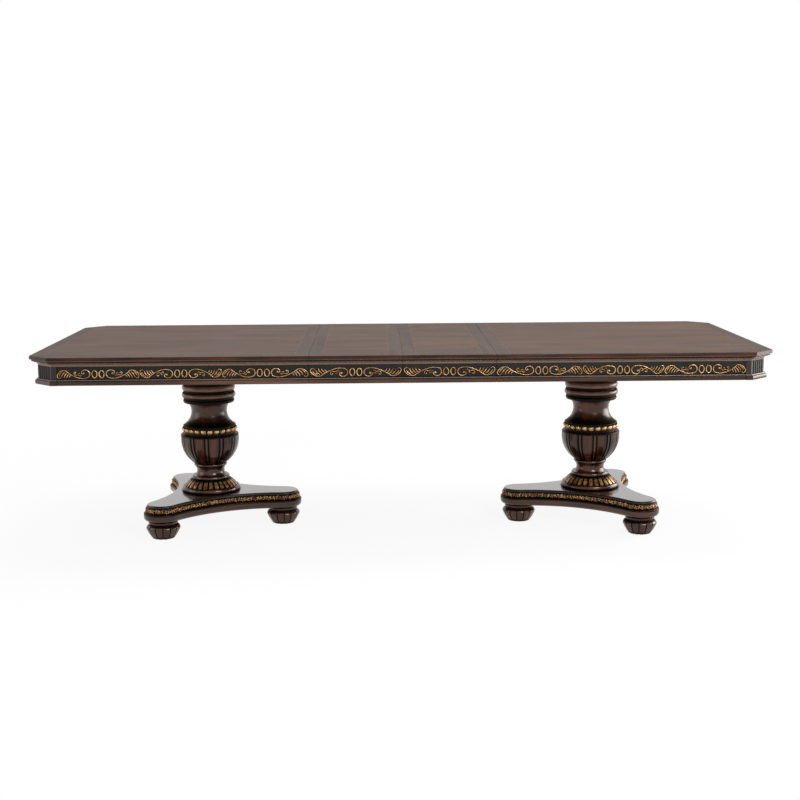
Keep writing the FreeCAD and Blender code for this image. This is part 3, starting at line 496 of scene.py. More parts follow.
@dataclass(frozen=True)
class GlazedAndShadedWood(Finish):
    """Stained wood with dull dark glazing and painted shade in its hollows, painted shade on its
    undersides, and bands of other tones, some of them painted shade or painted highlights.
    """

    dark: str
    middle: str
    light: str
    glaze_and_shade: str = "#080504"
    grain: Grain = Grain.UPRIGHT
    gloss: float = 0.14
    # How far off a surface still closes a hollow in, and how closed in glazing and painted shade begin and
    # are thickest
    reach: float = 14 * MM
    closed: Flat = (0.16, 0.5)
    # How far down a face looks where the painted shade of an underside begins and is thickest, and how far
    # it covers there
    under: Flat = (-0.3, -0.85)
    under_share: float = 0.8
    # Radius of the rubbed arrises
    arris: float = 1.5 * MM
    shine: float = 0.55
    warmth: Colour = (1.0, 0.76, 0.64, 1.0)
    coat: float = 0.12
    coat_roughness: float = 0.08
    zones: tuple[Zone, ...] = ()
    # How far the noise is squeezed along the grain, on whole pieces and on lengths of moulding
    squeeze: float = 0.07
    length_squeeze: float = 0.06
    # How far a face looks along the table where it begins and is full to count as an end
    end_face: Flat = (0.6, 0.8)
    clouds: Layer = Layer(11.0, 3.0, share=0.4)
    streaks: Layer = Layer(30.0, 5.0, 0.6, share=0.4)
    pores: Layer = Layer(240.0, 3.0, share=0.2)
    tones: Triple = (0.38, 0.5, 0.63)
    pore_depth: float = 0.08 * MM
    wear: Layer = Layer(9.0, share=0.12)
    # What thick glazing and painted shade do to the colour, the roughness and the metal; the metal kills
    # the shine
    glaze_and_shade_cover: float = 0.94
    glaze_and_shade_roughness: float = 0.2
    glaze_and_shade_metal: float = 0.8

    def stretched(self, bench: Bench) -> Wire:
        """Squeezes the piece's place along the grain, so that the noise draws out along it.

        Args:
            bench: The nodes.

        Returns:
            The place to read the grain at.
        """
        place = bench.place()
        if self.grain is Grain.UPRIGHT:
            return place * (1.0, 1.0, self.squeeze)
        if self.grain is Grain.FLAT:
            return place * (self.squeeze, 1.0, 1.0)
        on_end = abs(bench.split(bench.facing())[0]).rise(*self.end_face)
        x, y, z = bench.split(place)
        rest = 1 - self.length_squeeze
        return bench.unite(x * (self.length_squeeze + rest * on_end), y * (1 - rest * on_end), z)

    def figure(self, bench: Bench) -> tuple[Wire, Wire]:
        """Draws the wood, with the zones' tones over it, painted shade and painted highlights among them.

        Args:
            bench: The nodes.

        Returns:
            The wood's colour and the height of its pores.
        """
        tone, pores = grained(self.stretched(bench), self.clouds, self.streaks, self.pores)
        colour = bench.ramp(tone, *zip(self.tones, (self.dark, self.middle, self.light)))
        height = bench.height()
        for zone in self.zones:
            colour = bench.mix(zone.cover(height), colour, zone.tone)
        return colour, pores

    def glazed_and_shaded(self, bench: Bench) -> Wire:
        """Tells where dark glazing and painted shade lie: in hollows, on undersides and in dull zones.

        Args:
            bench: The nodes.

        Returns:
            0 on bare wood and 1 under thick glazing or deep painted shade.
        """
        under = bench.tilt().rise(*self.under)
        glazed_and_shaded = bench.hollow(self.reach, *self.closed).most(under * self.under_share)
        height = bench.height()
        for zone in self.zones:
            if zone.dull:
                glazed_and_shaded = glazed_and_shaded.most(zone.cover(height))
        return glazed_and_shaded

    def paint(self, bench: Bench) -> Wire:
        """Builds the finish.

        Args:
            bench: The nodes.

        Returns:
            The shader.
        """
        colour, pores = self.figure(bench)
        glazed_and_shaded = self.glazed_and_shaded(bench)
        worn = self.wear.read(bench.place())
        # Dark glazing and painted shade darken the colour, roughen it and take away its shine
        return bench.shader(
            bench.mix(glazed_and_shaded * self.glaze_and_shade_cover, colour, self.glaze_and_shade),
            self.gloss + worn * self.wear.share + glazed_and_shaded * self.glaze_and_shade_roughness,
            Metallic=glazed_and_shaded * self.glaze_and_shade_metal,
            Normal=bench.relief(pores, self.pore_depth, bench.soft_edges(self.arris)),
            Specular_IOR_Level=self.shine,
            Specular_Tint=self.warmth,
            Coat_Weight=(1 - glazed_and_shaded) * self.coat,
            Coat_Roughness=self.coat_roughness,
        )


@dataclass(frozen=True)
class LobedWood(GlazedAndShadedWood):
    """Stained wood of a lobed bowl, with a painted pale reflection on its ribs and painted shade in the
    groove at each side of a rib and on the lobe beside it.
    """

    centre: float = 0.0
    lobes: int = 12
    # Half the angle of a rib, 15 mm wide where the bowl's radius is 120 mm
    half_rib: float = 7.5 / 120
    # Distances beside a rib's edge where the painted shade of its groove and of the lobe beside it begin
    # and are full
    groove: Flat = (5.5 * MM, 2.4 * MM)
    shade: Flat = (18 * MM, 3 * MM)
    shade_share: float = 0.42
    # Distances beside a rib's middle where its painted reflection begins and is full
    rib: Flat = (4.6 * MM, 2.0 * MM)
    rib_reflection: str = "#3b3730"
    rib_reflection_share: float = 0.5

    def beside(self, bench: Bench) -> tuple[Wire, Wire]:
        """Measures how far a place lies beside the middle of the nearest rib.

        Args:
            bench: The nodes.

        Returns:
            That angle, and the place's distance from the bowl's axis.
        """
        radius, angle, _ = bench.polar(self.centre)
        turn = angle * (self.lobes / math.tau) + 0.5
        return abs(turn.fraction() - 0.5) * (math.tau / self.lobes), radius

    def figure(self, bench: Bench) -> tuple[Wire, Wire]:
        """Draws the wood, with a painted pale reflection on its ribs.

        Args:
            bench: The nodes.

        Returns:
            The wood's colour and the height of its pores.
        """
        colour, pores = super().figure(bench)
        beside, radius = self.beside(bench)
        on_rib = (beside * radius).rise(*self.rib)
        return bench.mix(on_rib * self.rib_reflection_share, colour, self.rib_reflection), pores

    def glazed_and_shaded(self, bench: Bench) -> Wire:
        """Tells where dark glazing and painted shade lie, with painted shade in the grooves beside the
        ribs.

        Args:
            bench: The nodes.

        Returns:
            0 on bare wood and 1 under thick glazing or deep painted shade.
        """
        beside, radius = self.beside(bench)
        off = (beside - self.half_rib) * radius
        lines = abs(off).rise(*self.groove)
        shade = off.rise(*self.shade) * off.rise(-self.groove[1], 0.0) * self.shade_share
        return super().glazed_and_shaded(bench).most(lines).most(shade)


@dataclass(frozen=True)
class FiguredTop(Finish):
    """Veneered top panel: a straight-grained field, crossbanding, string lines and a stained edge, with a
    painted highlight on the edge's lower arris and painted shade below it.
    """

    low: Flat
    high: Flat
    clip: float
    band: float = 52 * MM
    string: float = 3 * MM
    dark: str = "#2a180c"
    middle: str = "#412714"
    light: str = "#56361d"
    band_dark: str = "#2a1a10"
    band_light: str = "#432c1c"
    line: str = "#7c5232"
    edge_dark: str = "#20120d"
    edge_light: str = "#4c2a1e"
    # Painted highlight on the lower arris of the edge, and painted shade on the under board below it
    edge_highlight_and_shade: tuple[Zone, ...] = (
        Zone(0.7588, 0.762, "#9a7f6b", 0.35, 0.5 * MM),
        Zone(0.75, 0.7584, "#0a0504", 0.85, 0.5 * MM),
    )
    # Layers of veneer whose grain runs along the first axis
    drift: Layer = Layer(detail=2.0, stretch=(1.1, 3.0, 1.0), share=0.16)
    streaks: Layer = Layer(detail=5.0, distortion=0.5, stretch=(1.3, 24.0, 1.0), share=0.6)
    threads: Layer = Layer(stretch=(6.0, 190.0, 1.0), share=0.28)
    pores: Layer = Layer(detail=2.0, stretch=(30.0, 620.0, 1.0), share=0.12)
    pore_depth: float = 0.05 * MM
    edge_streaks: Layer = Layer(stretch=(5.0, 5.0, 60.0))
    tones: Flat = (0.36, 0.66)
    edge_tones: Flat = (0.35, 0.65)
    line_share: float = 0.3
    # How far a face looks up where it begins and is full to count as the top
    top_face: Flat = (0.5, 0.85)
    gloss: float = 0.48
    edge_polish: float = 0.16
    wear: Layer = Layer(5.0, share=0.1)
    shine: float = 0.18

    def margin(self, bench: Bench, place: Wire) -> Wire:
        """Measures how far a place lies from the panel's nearest edge.

        Args:
            bench: The nodes.
            place: The place on the panel.

        Returns:
            The distance in metres.
        """
        x, y, _ = bench.split(place)
        ends = (x - self.low[0]).least(self.high[0] - x)
        sides = self.high[1] - abs(y)
        near = ends.least(sides)
        if not self.clip:
            return near
        tip = max(abs(self.low[0]), abs(self.high[0]))
        corner = (tip + self.high[1] - self.clip - abs(x) - abs(y)) / math.sqrt(2)
        return near.least(corner)

    def wood(self, bench: Bench, place: Wire, colours: Sequence[str]) -> tuple[Wire, Wire]:
        """Draws veneer whose grain runs along the first axis of a place.

        Args:
            bench: The nodes.
            place: Where the grain is read.
            colours: Dark to light.

        Returns:
            The colour and the height of the pores.
        """
        wander = place + bench.unite(0.0, self.drift.read(place) * self.drift.share, 0.0)
        tone, pores = grained(wander, self.streaks, self.threads, self.pores)
        start, end = self.tones
        step = (end - start) / (len(colours) - 1)
        return bench.ramp(tone, *((start + step * i, code) for i, code in enumerate(colours))), pores

    def paint(self, bench: Bench) -> Wire:
        """Builds the finish.

        Args:
            bench: The nodes.

        Returns:
            The shader.
        """
        place = bench.place()
        x, y, z = bench.split(place)
        near = self.margin(bench, place)
        colour, pores = self.wood(bench, place, (self.dark, self.middle, self.light))
        banding, _ = self.wood(bench, bench.unite(y, x, z), (self.band_dark, self.band_light))
        in_band = near.rise(self.band + MM, self.band)
        inner = self.band - self.string
        on_line = near.rise(inner, inner + MM) * in_band
        colour = bench.mix(in_band, colour, banding)
        colour = bench.mix(on_line * self.line_share, colour, self.line)
        streaks = self.edge_streaks.read(place)
        edge = bench.ramp(streaks, *zip(self.edge_tones, (self.edge_dark, self.edge_light)))
        for zone in self.edge_highlight_and_shade:
            edge = bench.mix(zone.cover(z), edge, zone.tone)
        flat = bench.tilt().rise(*self.top_face)
        return bench.shader(
            bench.mix(flat, edge, colour),
            self.gloss + self.wear.read(place) * self.wear.share - (1 - flat) * self.edge_polish,
            Normal=bench.relief(pores, self.pore_depth),
            Specular_IOR_Level=self.shine,
        )


@dataclass(frozen=True)
class BlackPaint(Finish):
    """Satin black paint, a little green, with brush marks, rubbed specks and painted shade in its hollows,
    under the cove and round the carving.
    """

    base: str = "#0b0f0e"
    faded: str = "#161a18"
    rubbed: str = "#2a1d14"
    gloss: float = 0.36
    shine: float = 0.24
    # Painted shade in the hollows, under the cove and round the carving: its colour, its reach and how
    # closed in it begins and is thickest
    glaze_and_shade: str = "#020303"
    reach: float = 12 * MM
    closed: Flat = (0.1, 0.5)
    glaze_and_shade_cover: float = 0.9
    glaze_and_shade_metal: float = 0.8
    clouds: Layer = Layer(14.0, 5.0, share=0.16)
    tones: Flat = (0.35, 0.7)
    brush: Layer = Layer(detail=3.0, stretch=(12.0, 12.0, 420.0))
    brush_depth: float = 0.08 * MM
    specks: Layer = Layer(160.0, 2.0, share=0.5)
    speck: Flat = (0.66, 0.74)

    def paint(self, bench: Bench) -> Wire:
        """Builds the finish.

        Args:
            bench: The nodes.

        Returns:
            The shader.
        """
        place = bench.place()
        clouds = self.clouds.read(place)
        colour = bench.ramp(clouds, *zip(self.tones, (self.base, self.faded)))
        specks = self.specks.read(place).rise(*self.speck)
        colour = bench.mix(specks * self.specks.share, colour, self.rubbed)
        hollow = bench.hollow(self.reach, *self.closed)
        # Painted shade darkens the colour and takes away the shine
        return bench.shader(
            bench.mix(hollow * self.glaze_and_shade_cover, colour, self.glaze_and_shade),
            self.gloss + clouds * self.clouds.share,
            Metallic=hollow * self.glaze_and_shade_metal,
            Normal=bench.relief(self.brush.read(place), self.brush_depth),
            Specular_IOR_Level=self.shine,
        )


@dataclass(frozen=True)
class Gilding(Finish):
    """Antique gold over red bole, with brown glazing and painted shade in the hollows."""

    gold: str = "#e6bb87"
    deep: str = "#a87846"
    bole: str = "#5e351d"
    # Brown glazing and painted shade in the hollows: its colour, its reach and how closed in it begins and
    # is thickest
    glaze_and_shade: str = "#160b05"
    reach: float = 4 * MM
    closed: Flat = (0.2, 0.6)
    glaze_and_shade_cover: float = 0.9
    clouds: Layer = Layer(60.0, share=0.14)
    tones: Flat = (0.35, 0.62)
    cloud_depth: float = 0.25 * MM
    # Where the gold is rubbed through to the bole
    rubbing: Layer = Layer(210.0, share=0.7)
    rubbed: Flat = (0.58, 0.7)
    gloss: float = 0.2
    # How metallic bare gold is, and what glazing with painted shade and rubbing take from that
    metal: float = 0.7
    glaze_and_shade_loss: float = 0.2
    rubbing_loss: float = 0.3

    def paint(self, bench: Bench) -> Wire:
        """Builds the finish.

        Args:
            bench: The nodes.

        Returns:
            The shader.
        """
        place = bench.place()
        clouds = self.clouds.read(place)
        colour = bench.ramp(clouds, *zip(self.tones, (self.deep, self.gold)))
        rubbed = self.rubbing.read(place).rise(*self.rubbed)
        colour = bench.mix(rubbed * self.rubbing.share, colour, self.bole)
        hollow = bench.hollow(self.reach, *self.closed)
        return bench.shader(
            bench.mix(hollow * self.glaze_and_shade_cover, colour, self.glaze_and_shade),
            self.gloss + clouds * self.clouds.share,
            Metallic=self.metal - hollow * self.glaze_and_shade_loss - rubbed * self.rubbing_loss,
            Normal=bench.relief(clouds, self.cloud_depth),
        )


@dataclass(frozen=True)
class GiltRing(Finish):
    """A turned ring that is gilt where its carving stands up and dark elsewhere."""

    centre: float
    gilt: Gilding
    ground: Finish

    def gilt_share(self, bench: Bench, angle: Wire, height: Wire) -> Wire:
        """Tells where the gilding lies, from 0 off it to 1 on it."""
        raise NotImplementedError

    def paint(self, bench: Bench) -> Wire:
        """Builds the finish.

        Args:
            bench: The nodes.

        Returns:
            The shader.
        """
        _, angle, height = bench.polar(self.centre)
        share = self.gilt_share(bench, angle, height)
        return bench.mix_shaders(share, self.ground.paint(bench), self.gilt.paint(bench))


@dataclass(frozen=True)
class BeadRing(GiltRing):
    """Beads on a dark ring, gilt where they stand out most, with a gap between two beads at angle 0."""

    count: int
    seat: float
    level: float
    # Half the width and height of a gilt patch, how far it sits below a bead's middle and its soft edge
    patch: Flat = (11.0 * MM, 9.0 * MM)
    drop: float = 1.2 * MM
    edge: Flat = (1.08, 0.86)

    def gilt_share(self, bench: Bench, angle: Wire, height: Wire) -> Wire:
        """Gilds an oval patch on the outer face of each bead.

        Args:
            bench: The nodes.
            angle: Angle round the ring's axis.
            height: Height above the floor.

        Returns:
            1 on the beads and 0 off them.
        """
        turn = angle * (self.count / math.tau)
        along = (turn.fraction() - 0.5) * (math.tau * self.seat / self.count)
        wide, tall = self.patch
        offset = bench.unite(along / wide, (height - self.level + self.drop) / tall, 0.0)
        return offset.length().rise(*self.edge)


@dataclass(frozen=True)
class TongueRing(GiltRing):
    """Gilt tongues with round ends on a dark collar, with a groove at angle 0."""

    count: int
    foot: float
    head: float
    wood: Finish
    # Half a tongue's width as a share of its pitch, and its soft edge
    fill: float = 0.33
    edge: Flat = (1.1, 0.8)
    # Shares of the height: where the round end begins and stops, and where the gilding fades out into a
    # painted shadow under the ring above
    round_from: float = 0.26
    tip: float = 0.06
    shoulder: float = 0.76
    fade: float = 0.16

    def gilt_share(self, bench: Bench, angle: Wire, height: Wire) -> Wire:
        """Gilds the tabs between the grooves, rounded at the foot.

        Args:
            bench: The nodes; not used.
            angle: Angle round the ring's axis.
            height: Height above the floor.

        Returns:
            1 on the tongues and 0 off them.
        """
        turn = angle * (self.count / math.tau)
        beside = (turn.fraction() - 0.5) / self.fill
        up = (height - self.foot) / (self.head - self.foot)
        below = (self.round_from - up).most(0.0) / (self.round_from - self.tip)
        apart = beside * beside + below * below
        # Above the shoulder the gilding fades into the dark ground: a painted shadow under the ring above
        return apart.rise(*self.edge) * up.rise(self.shoulder + self.fade, self.shoulder)

    def paint(self, bench: Bench) -> Wire:
        """Builds the finish, with plain wood on the disc under the tongues.

        Args:
            bench: The nodes.

        Returns:
            The shader.
        """
        share = bench.height().rise(self.foot, self.foot + MM)
        return bench.mix_shaders(share, self.wood.paint(bench), super().paint(bench))


@dataclass(frozen=True)
class PlanedWood(Finish):
    """Plain pale wood of the slides, planed and waxed."""

    dark: str = "#8a6238"
    light: str = "#b58a58"
    streaks: Layer = Layer(distortion=0.4, stretch=(1.5, 60.0, 60.0), share=0.8)
    pores: Layer = Layer(detail=2.0, stretch=(40.0, 600.0, 600.0), share=0.2)
    tones: Flat = (0.35, 0.65)
    gloss: float = 0.55
    pore_roughness: float = 0.1
    pore_depth: float = 0.1 * MM

    def paint(self, bench: Bench) -> Wire:
        """Builds the finish.

        Args:
            bench: The nodes.

        Returns:
            The shader.
        """
        tone, pores = grained(bench.place(), self.streaks, self.pores)
        colour = bench.ramp(tone, *zip(self.tones, (self.dark, self.light)))
        rough = self.gloss + pores * self.pore_roughness
        return bench.shader(colour, rough, Normal=bench.relief(pores, self.pore_depth))


@dataclass(frozen=True)
class PlatedSteel(Finish):
    """Plated steel with fine scratches."""

    base: str = "#8f8b83"
    worn: str = "#6b655c"
    clouds: Layer = Layer(45.0, share=0.12)
    scratches: Layer = Layer(detail=2.0, stretch=(900.0, 60.0, 300.0), share=0.08)
    tones: Flat = (0.35, 0.65)
    gloss: float = 0.28
    metal: float = 0.9
    scratch_depth: float = 0.03 * MM

    def paint(self, bench: Bench) -> Wire:
        """Builds the finish.

        Args:
            bench: The nodes.

        Returns:
            The shader.
        """
        place = bench.place()
        clouds = self.clouds.read(place)
        scratches = self.scratches.read(place)
        colour = bench.ramp(clouds, *zip(self.tones, (self.worn, self.base)))
        rough = self.gloss + clouds * self.clouds.share + scratches * self.scratches.share
        facing = bench.relief(scratches, self.scratch_depth)
        return bench.shader(colour, rough, Metallic=self.metal, Normal=facing)


@dataclass(frozen=True)
class FloorWhite(Finish):
    """Pale floor that shows as white to the camera and in reflections, and keeps the table's shadow."""

    shade: Colour = (0.92, 0.92, 0.92, 1.0)
    # Share of white near the table, and the distances between which the rest of it comes in
    glow: float = 0.9
    fade: Flat = (1.4, 3.2)

    def paint(self, bench: Bench) -> Wire:
        """Builds the finish.

        Args:
            bench: The nodes.

        Returns:
            The shader.
        """
        lit = bench.add("ShaderNodeBsdfDiffuse", None, {"Color": self.shade})
        white = bench.add("ShaderNodeEmission", None, {"Color": WHITE, "Strength": 1.0})
        share = self.glow + (1 - self.glow) * bench.place().length().rise(*self.fade)
        return bench.mix_shaders(bench.seen() * share, lit, white)


TURNED_TONES = ("#130605", "#2c120b", "#532617")
PLINTH_TONES = ("#150906", "#2e1811", "#4a2d21")
RUN_TONES = ("#22130d", "#412a20", "#604233")
# Heights of the painted shade between and under the column's rings, up to the apron, and of the painted
# highlights on the rings' faces
RING_SHADOWS = ((0.512, 0.5405), (0.5555, 0.5685), (0.5895, 0.72))
RING_HIGHLIGHTS = ((0.5435, 0.5565), (0.571, 0.5895))
COLUMN_WOOD = GlazedAndShadedWood(
    "column_mahogany",
    "pedestal_wood",
    *TURNED_TONES,
    closed=(0.1, 0.34),
    gloss=0.24,
    under=(-0.3, -0.8),
    under_share=0.5,
    zones=(
        # Painted shade on the neck's flare, which faces the dark underside of the top
        Zone(0.4, 0.437, "#060302", 0.95, 8 * MM, dull=True),
        # Painted shade between and under the rings and under the apron
        *(Zone(low, high, "#050302", 0.97, dull=True) for low, high in RING_SHADOWS),
        # Painted highlights on the rings' faces
        *(Zone(low, high, "#8f6d5a", 0.4, MM) for low, high in RING_HIGHLIGHTS),
    ),
)
TURNED_WOOD = GlazedAndShadedWood("turned_mahogany", "pedestal_wood", *TURNED_TONES, closed=(0.1, 0.4))
PLINTH_WOOD = GlazedAndShadedWood(
    "plinth_mahogany",
    "pedestal_wood",
    *PLINTH_TONES,
    grain=Grain.FLAT,
    shine=0.95,
    warmth=(1.0, 0.92, 0.87, 1.0),
    coat=0.6,
    zones=(Zone(0.12, 0.1372, "#100a07", 0.9, MM, dull=True),),
)
BASE_WOOD = GlazedAndShadedWood(
    "plinth_base_mahogany",
    "pedestal_wood",
    *PLINTH_TONES,
    grain=Grain.FLAT,
    under=(-0.7, -0.95),
    zones=(Zone(0.0995, 0.12, "#060403", 0.95, dull=True),),
)
MOULDING_WOOD = GlazedAndShadedWood(
    "moulding_mahogany",
    "moulding_wood",
    *RUN_TONES,
    grain=Grain.LENGTHWISE,
    reach=5 * MM,
    gloss=0.2,
    shine=0.38,
    under_share=0.2,
    # Painted sheen on the cove under the top, and a painted highlight on the top edge of the base moulding
    zones=(Zone(0.7395, 0.76, "#9a8474", 0.46), Zone(0.6855, 0.7, "#9b938b", 0.45)),
)
BOWL_RIM = Zone(0.3735, 0.4, "#070404", 0.95, dull=True)
FRIEZE_BLACK = BlackPaint("satin_black", "frieze_black")
POST_BLACK = BlackPaint("post_black", "frieze_black", "#17110d", "#292019", gloss=0.5, shine=0.4, reach=MM)
RING_BLACK = BlackPaint("ring_black", "gilding", "#060606", "#0d0c0b", "#1c130c", gloss=0.34, shine=0.14)
GOLD = Gilding("antique_gold", "gilding")
AGED_GOLD = Gilding(
    "aged_gold",
    "gilding",
    gold="#dea86c",
    deep="#87562c",
    bole="#190d06",
    glaze_and_shade="#0a0503",
    rubbing=Layer(90.0, share=0.7),
    rubbed=(0.47, 0.59),
)
SLIDE_WOOD = PlanedWood("planed_slide_wood", "slide_wood")
SCREW_STEEL = PlatedSteel("zinc_plate", "fastener_steel")
LOCK_STEEL = PlatedSteel("lock_plate_steel", "lock_steel", "#8d8270", "#655b4c")
FLOOR_WHITE = FloorWhite("studio_floor_white", "studio")


def ray(angle: float) -> Vector:
    """Gives the level way at an angle."""
    return Vector((math.cos(angle), math.sin(angle), 0.0))


def show(name: str, data: bpy.types.ID) -> bpy.types.Object:
    """Adds an object to the scene.

    Args:
        name: Its name.
        data: Its mesh, light or camera.

    Returns:
        The object.
    """
    thing = bpy.data.objects.new(name, data)
    bpy.context.scene.collection.objects.link(thing)
    return thing


def flowing(places: Sequence[Flat], steps: int) -> list[Vector]:
    """Draws a smooth line through places.

    Args:
        places: The places that it passes.
        steps: How many points each stretch is drawn with.

    Returns:
        The points of the line.
    """
    knots = [Vector((*place, 0.0)) for place in places]
    knots = [2 * knots[0] - knots[1], *knots, 2 * knots[-1] - knots[-2]]
    line: list[Vector] = []
    for before, start, end, after in zip(knots, knots[1:], knots[2:], knots[3:]):
        leave = start + (end - before) / HANDLE
        arrive = end - (after - start) / HANDLE
        line += interpolate_bezier(start, leave, arrive, end, steps + 1)[:-1]
    return [*line, knots[-2]]


def spread(values: Sequence[float], count: int) -> list[float]:
    """Spreads a few values evenly over a number of points.

    Args:
        values: The values at even steps.
        count: The number of points.

    Returns:
        One value for each point.
    """
    result = []
    for i in range(count):
        at = i / (count - 1) * (len(values) - 1)
        low = min(int(at), len(values) - 2)
        result.append(values[low] + (values[low + 1] - values[low]) * (at - low))
    return result


@dataclass(frozen=True)
class Ground:
    """A face that carving stands on: its middle, the way along it and the way out of it."""

    middle: Vector
    along: Vector
    out: Vector
    # Height above the middle where the face begins to round away, and the radius of that, in millimetres
    round_from: float = math.inf
    round_radius: float = 0.0

    def at(self, u: float, v: float, rise: float) -> Vector:
        """Finds a point on or over the face, which rounds away above a height.

        Args:
            u: How far it lies along the face, in millimetres.
            v: How far up.
            rise: How far out.

        Returns:
            The point in metres.
        """
        past = min(max(0.0, v - self.round_from), self.round_radius)
        fall = self.round_radius - math.sqrt(self.round_radius ** 2 - past ** 2)
        return self.middle + (self.along * u + Vector((0.0, 0.0, v)) + self.out * (rise - fall)) * MM


@dataclass(frozen=True)
class Stroke:
    """A stroke to carve: the places it passes, half widths at even steps and its share of the full rise."""

    places: Sequence[Flat]
    halves: Sequence[float]
    share: float = 1.0


@dataclass
class Carving:
    """A mesh of carved strokes, each a closed rounded ridge."""

    points: list[Vector] = field(default_factory=list)
    faces: list[tuple[int, ...]] = field(default_factory=list)
    # Points on each stretch of a stroke
    steps: int = 4
    # Sections of a ridge and a button, in shares of the half width and of the rise
    ridge: tuple[Flat, ...] = (
        (-1.0, -0.25), (-0.82, 0.5), (-0.4, 0.9), (0.0, 1.0), (0.4, 0.9), (0.82, 0.5), (1.0, -0.25),
    )
    button: tuple[Flat, ...] = ((1.0, -0.2), (0.97, 0.3), (0.8, 0.68), (0.5, 0.92), (0.12, 1.0))
    button_sides: int = 12
    # Share of its rise that a stroke keeps however thin it gets
    least_rise: float = 0.45
    # Degrees between two faces from which their edge is sharp
    sharp_angle: float = 60.0

    def add_rings(self, rings: Sequence[Sequence[Vector]], loop: bool = False) -> None:
        """Skins rings of points.

        Args:
            rings: The rings, with the same number of points each.
            loop: Whether the last ring joins the first; the ends are closed otherwise.
        """
        start = len(self.points)
        size = len(rings[0])
        for ring in rings:
            self.points += ring
        spans = len(rings) if loop else len(rings) - 1
        for i in range(spans):
            here = start + i * size
            there = start + (i + 1) % len(rings) * size
            for j in range(size):
                k = (j + 1) % size
                self.faces.append((here + j, here + k, there + k, there + j))
        if not loop:
            self.faces.append(tuple(start + j for j in reversed(range(size))))
            self.faces.append(tuple(start + (len(rings) - 1) * size + j for j in range(size)))

    def add_bar(self, along: Flat, across: Flat, levels: Flat) -> None:
        """Adds a plain bar.

        Args:
            along: Where it starts and ends along the table, in metres.
            across: Where its two sides are.
            levels: Where its underside and top are.
        """
        corners = ((0, 0), (1, 0), (1, 1), (0, 1))
        self.add_rings([[Vector((along[i], across[j], level)) for i, j in corners] for level in levels])

    def add_stroke(
        self,
        ground: Ground,
        places: Sequence[Flat],
        widths: Sequence[float],
        rise: float,
        loop: bool = False,
    ) -> None:
        """Carves a rounded ridge along a flowing line.

        Args:
            ground: The face it stands on.
            places: The places that the line passes, in millimetres.
            widths: Its half widths at even steps.
            rise: Its height where it is widest.
            loop: Whether the line closes on itself.
        """
        line = [Vector((*place, 0.0)) for place in places] if loop else flowing(places, self.steps)
        halves = spread(widths, len(line))
        widest = max(widths)
        rings = []
        for i, (point, half) in enumerate(zip(line, halves)):
            before = line[i - 1] if loop or i else point
            after = line[(i + 1) % len(line)] if loop or i + 1 < len(line) else point
            way = (after - before).normalized()
            side = Vector((-way.y, way.x, 0.0))
            height = rise * (self.least_rise + (1 - self.least_rise) * half / widest)
            ring = []
            for across, up in self.ridge:
                spot = point + side * (half * across)
                ring.append(ground.at(spot.x, spot.y, height * up))
            rings.append(ring)
        self.add_rings(rings, loop)

    def add_button(self, ground: Ground, place: Flat, radius: float, rise: float) -> None:
        """Carves a round button.

        Args:
            ground: The face it stands on.
            place: Its middle, in millimetres.
            radius: Its radius.
            rise: Its height.
        """
        rings = []
        for share, up in self.button:
            ring = []
            for i in range(self.button_sides):
                turn = math.tau * i / self.button_sides
                u = place[0] + radius * share * math.cos(turn)
                v = place[1] + radius * share * math.sin(turn)
                ring.append(ground.at(u, v, rise * up))
            rings.append(ring)
        self.add_rings(rings)

    def make(self, name: str, finish: Finish, body: str) -> None:
        """Turns the strokes into a piece of the table.

        Args:
            name: The piece's name.
            finish: Its finish.
            body: The body that it rides on.
        """
        mesh = bpy.data.meshes.new(name)
        mesh.from_pydata(self.points, [], self.faces)
        work = bmesh.new()
        work.from_mesh(mesh)
        bmesh.ops.recalc_face_normals(work, faces=work.faces)
        work.to_mesh(mesh)
        work.free()
        mesh.shade_smooth()
        mesh.set_sharp_from_angle(angle=math.radians(self.sharp_angle))
        mesh.materials.append(finish.material())
        piece = show(name, mesh)
        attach(piece, body)
        log.info("%s: %d faces, on %s", name, len(mesh.polygons), body)


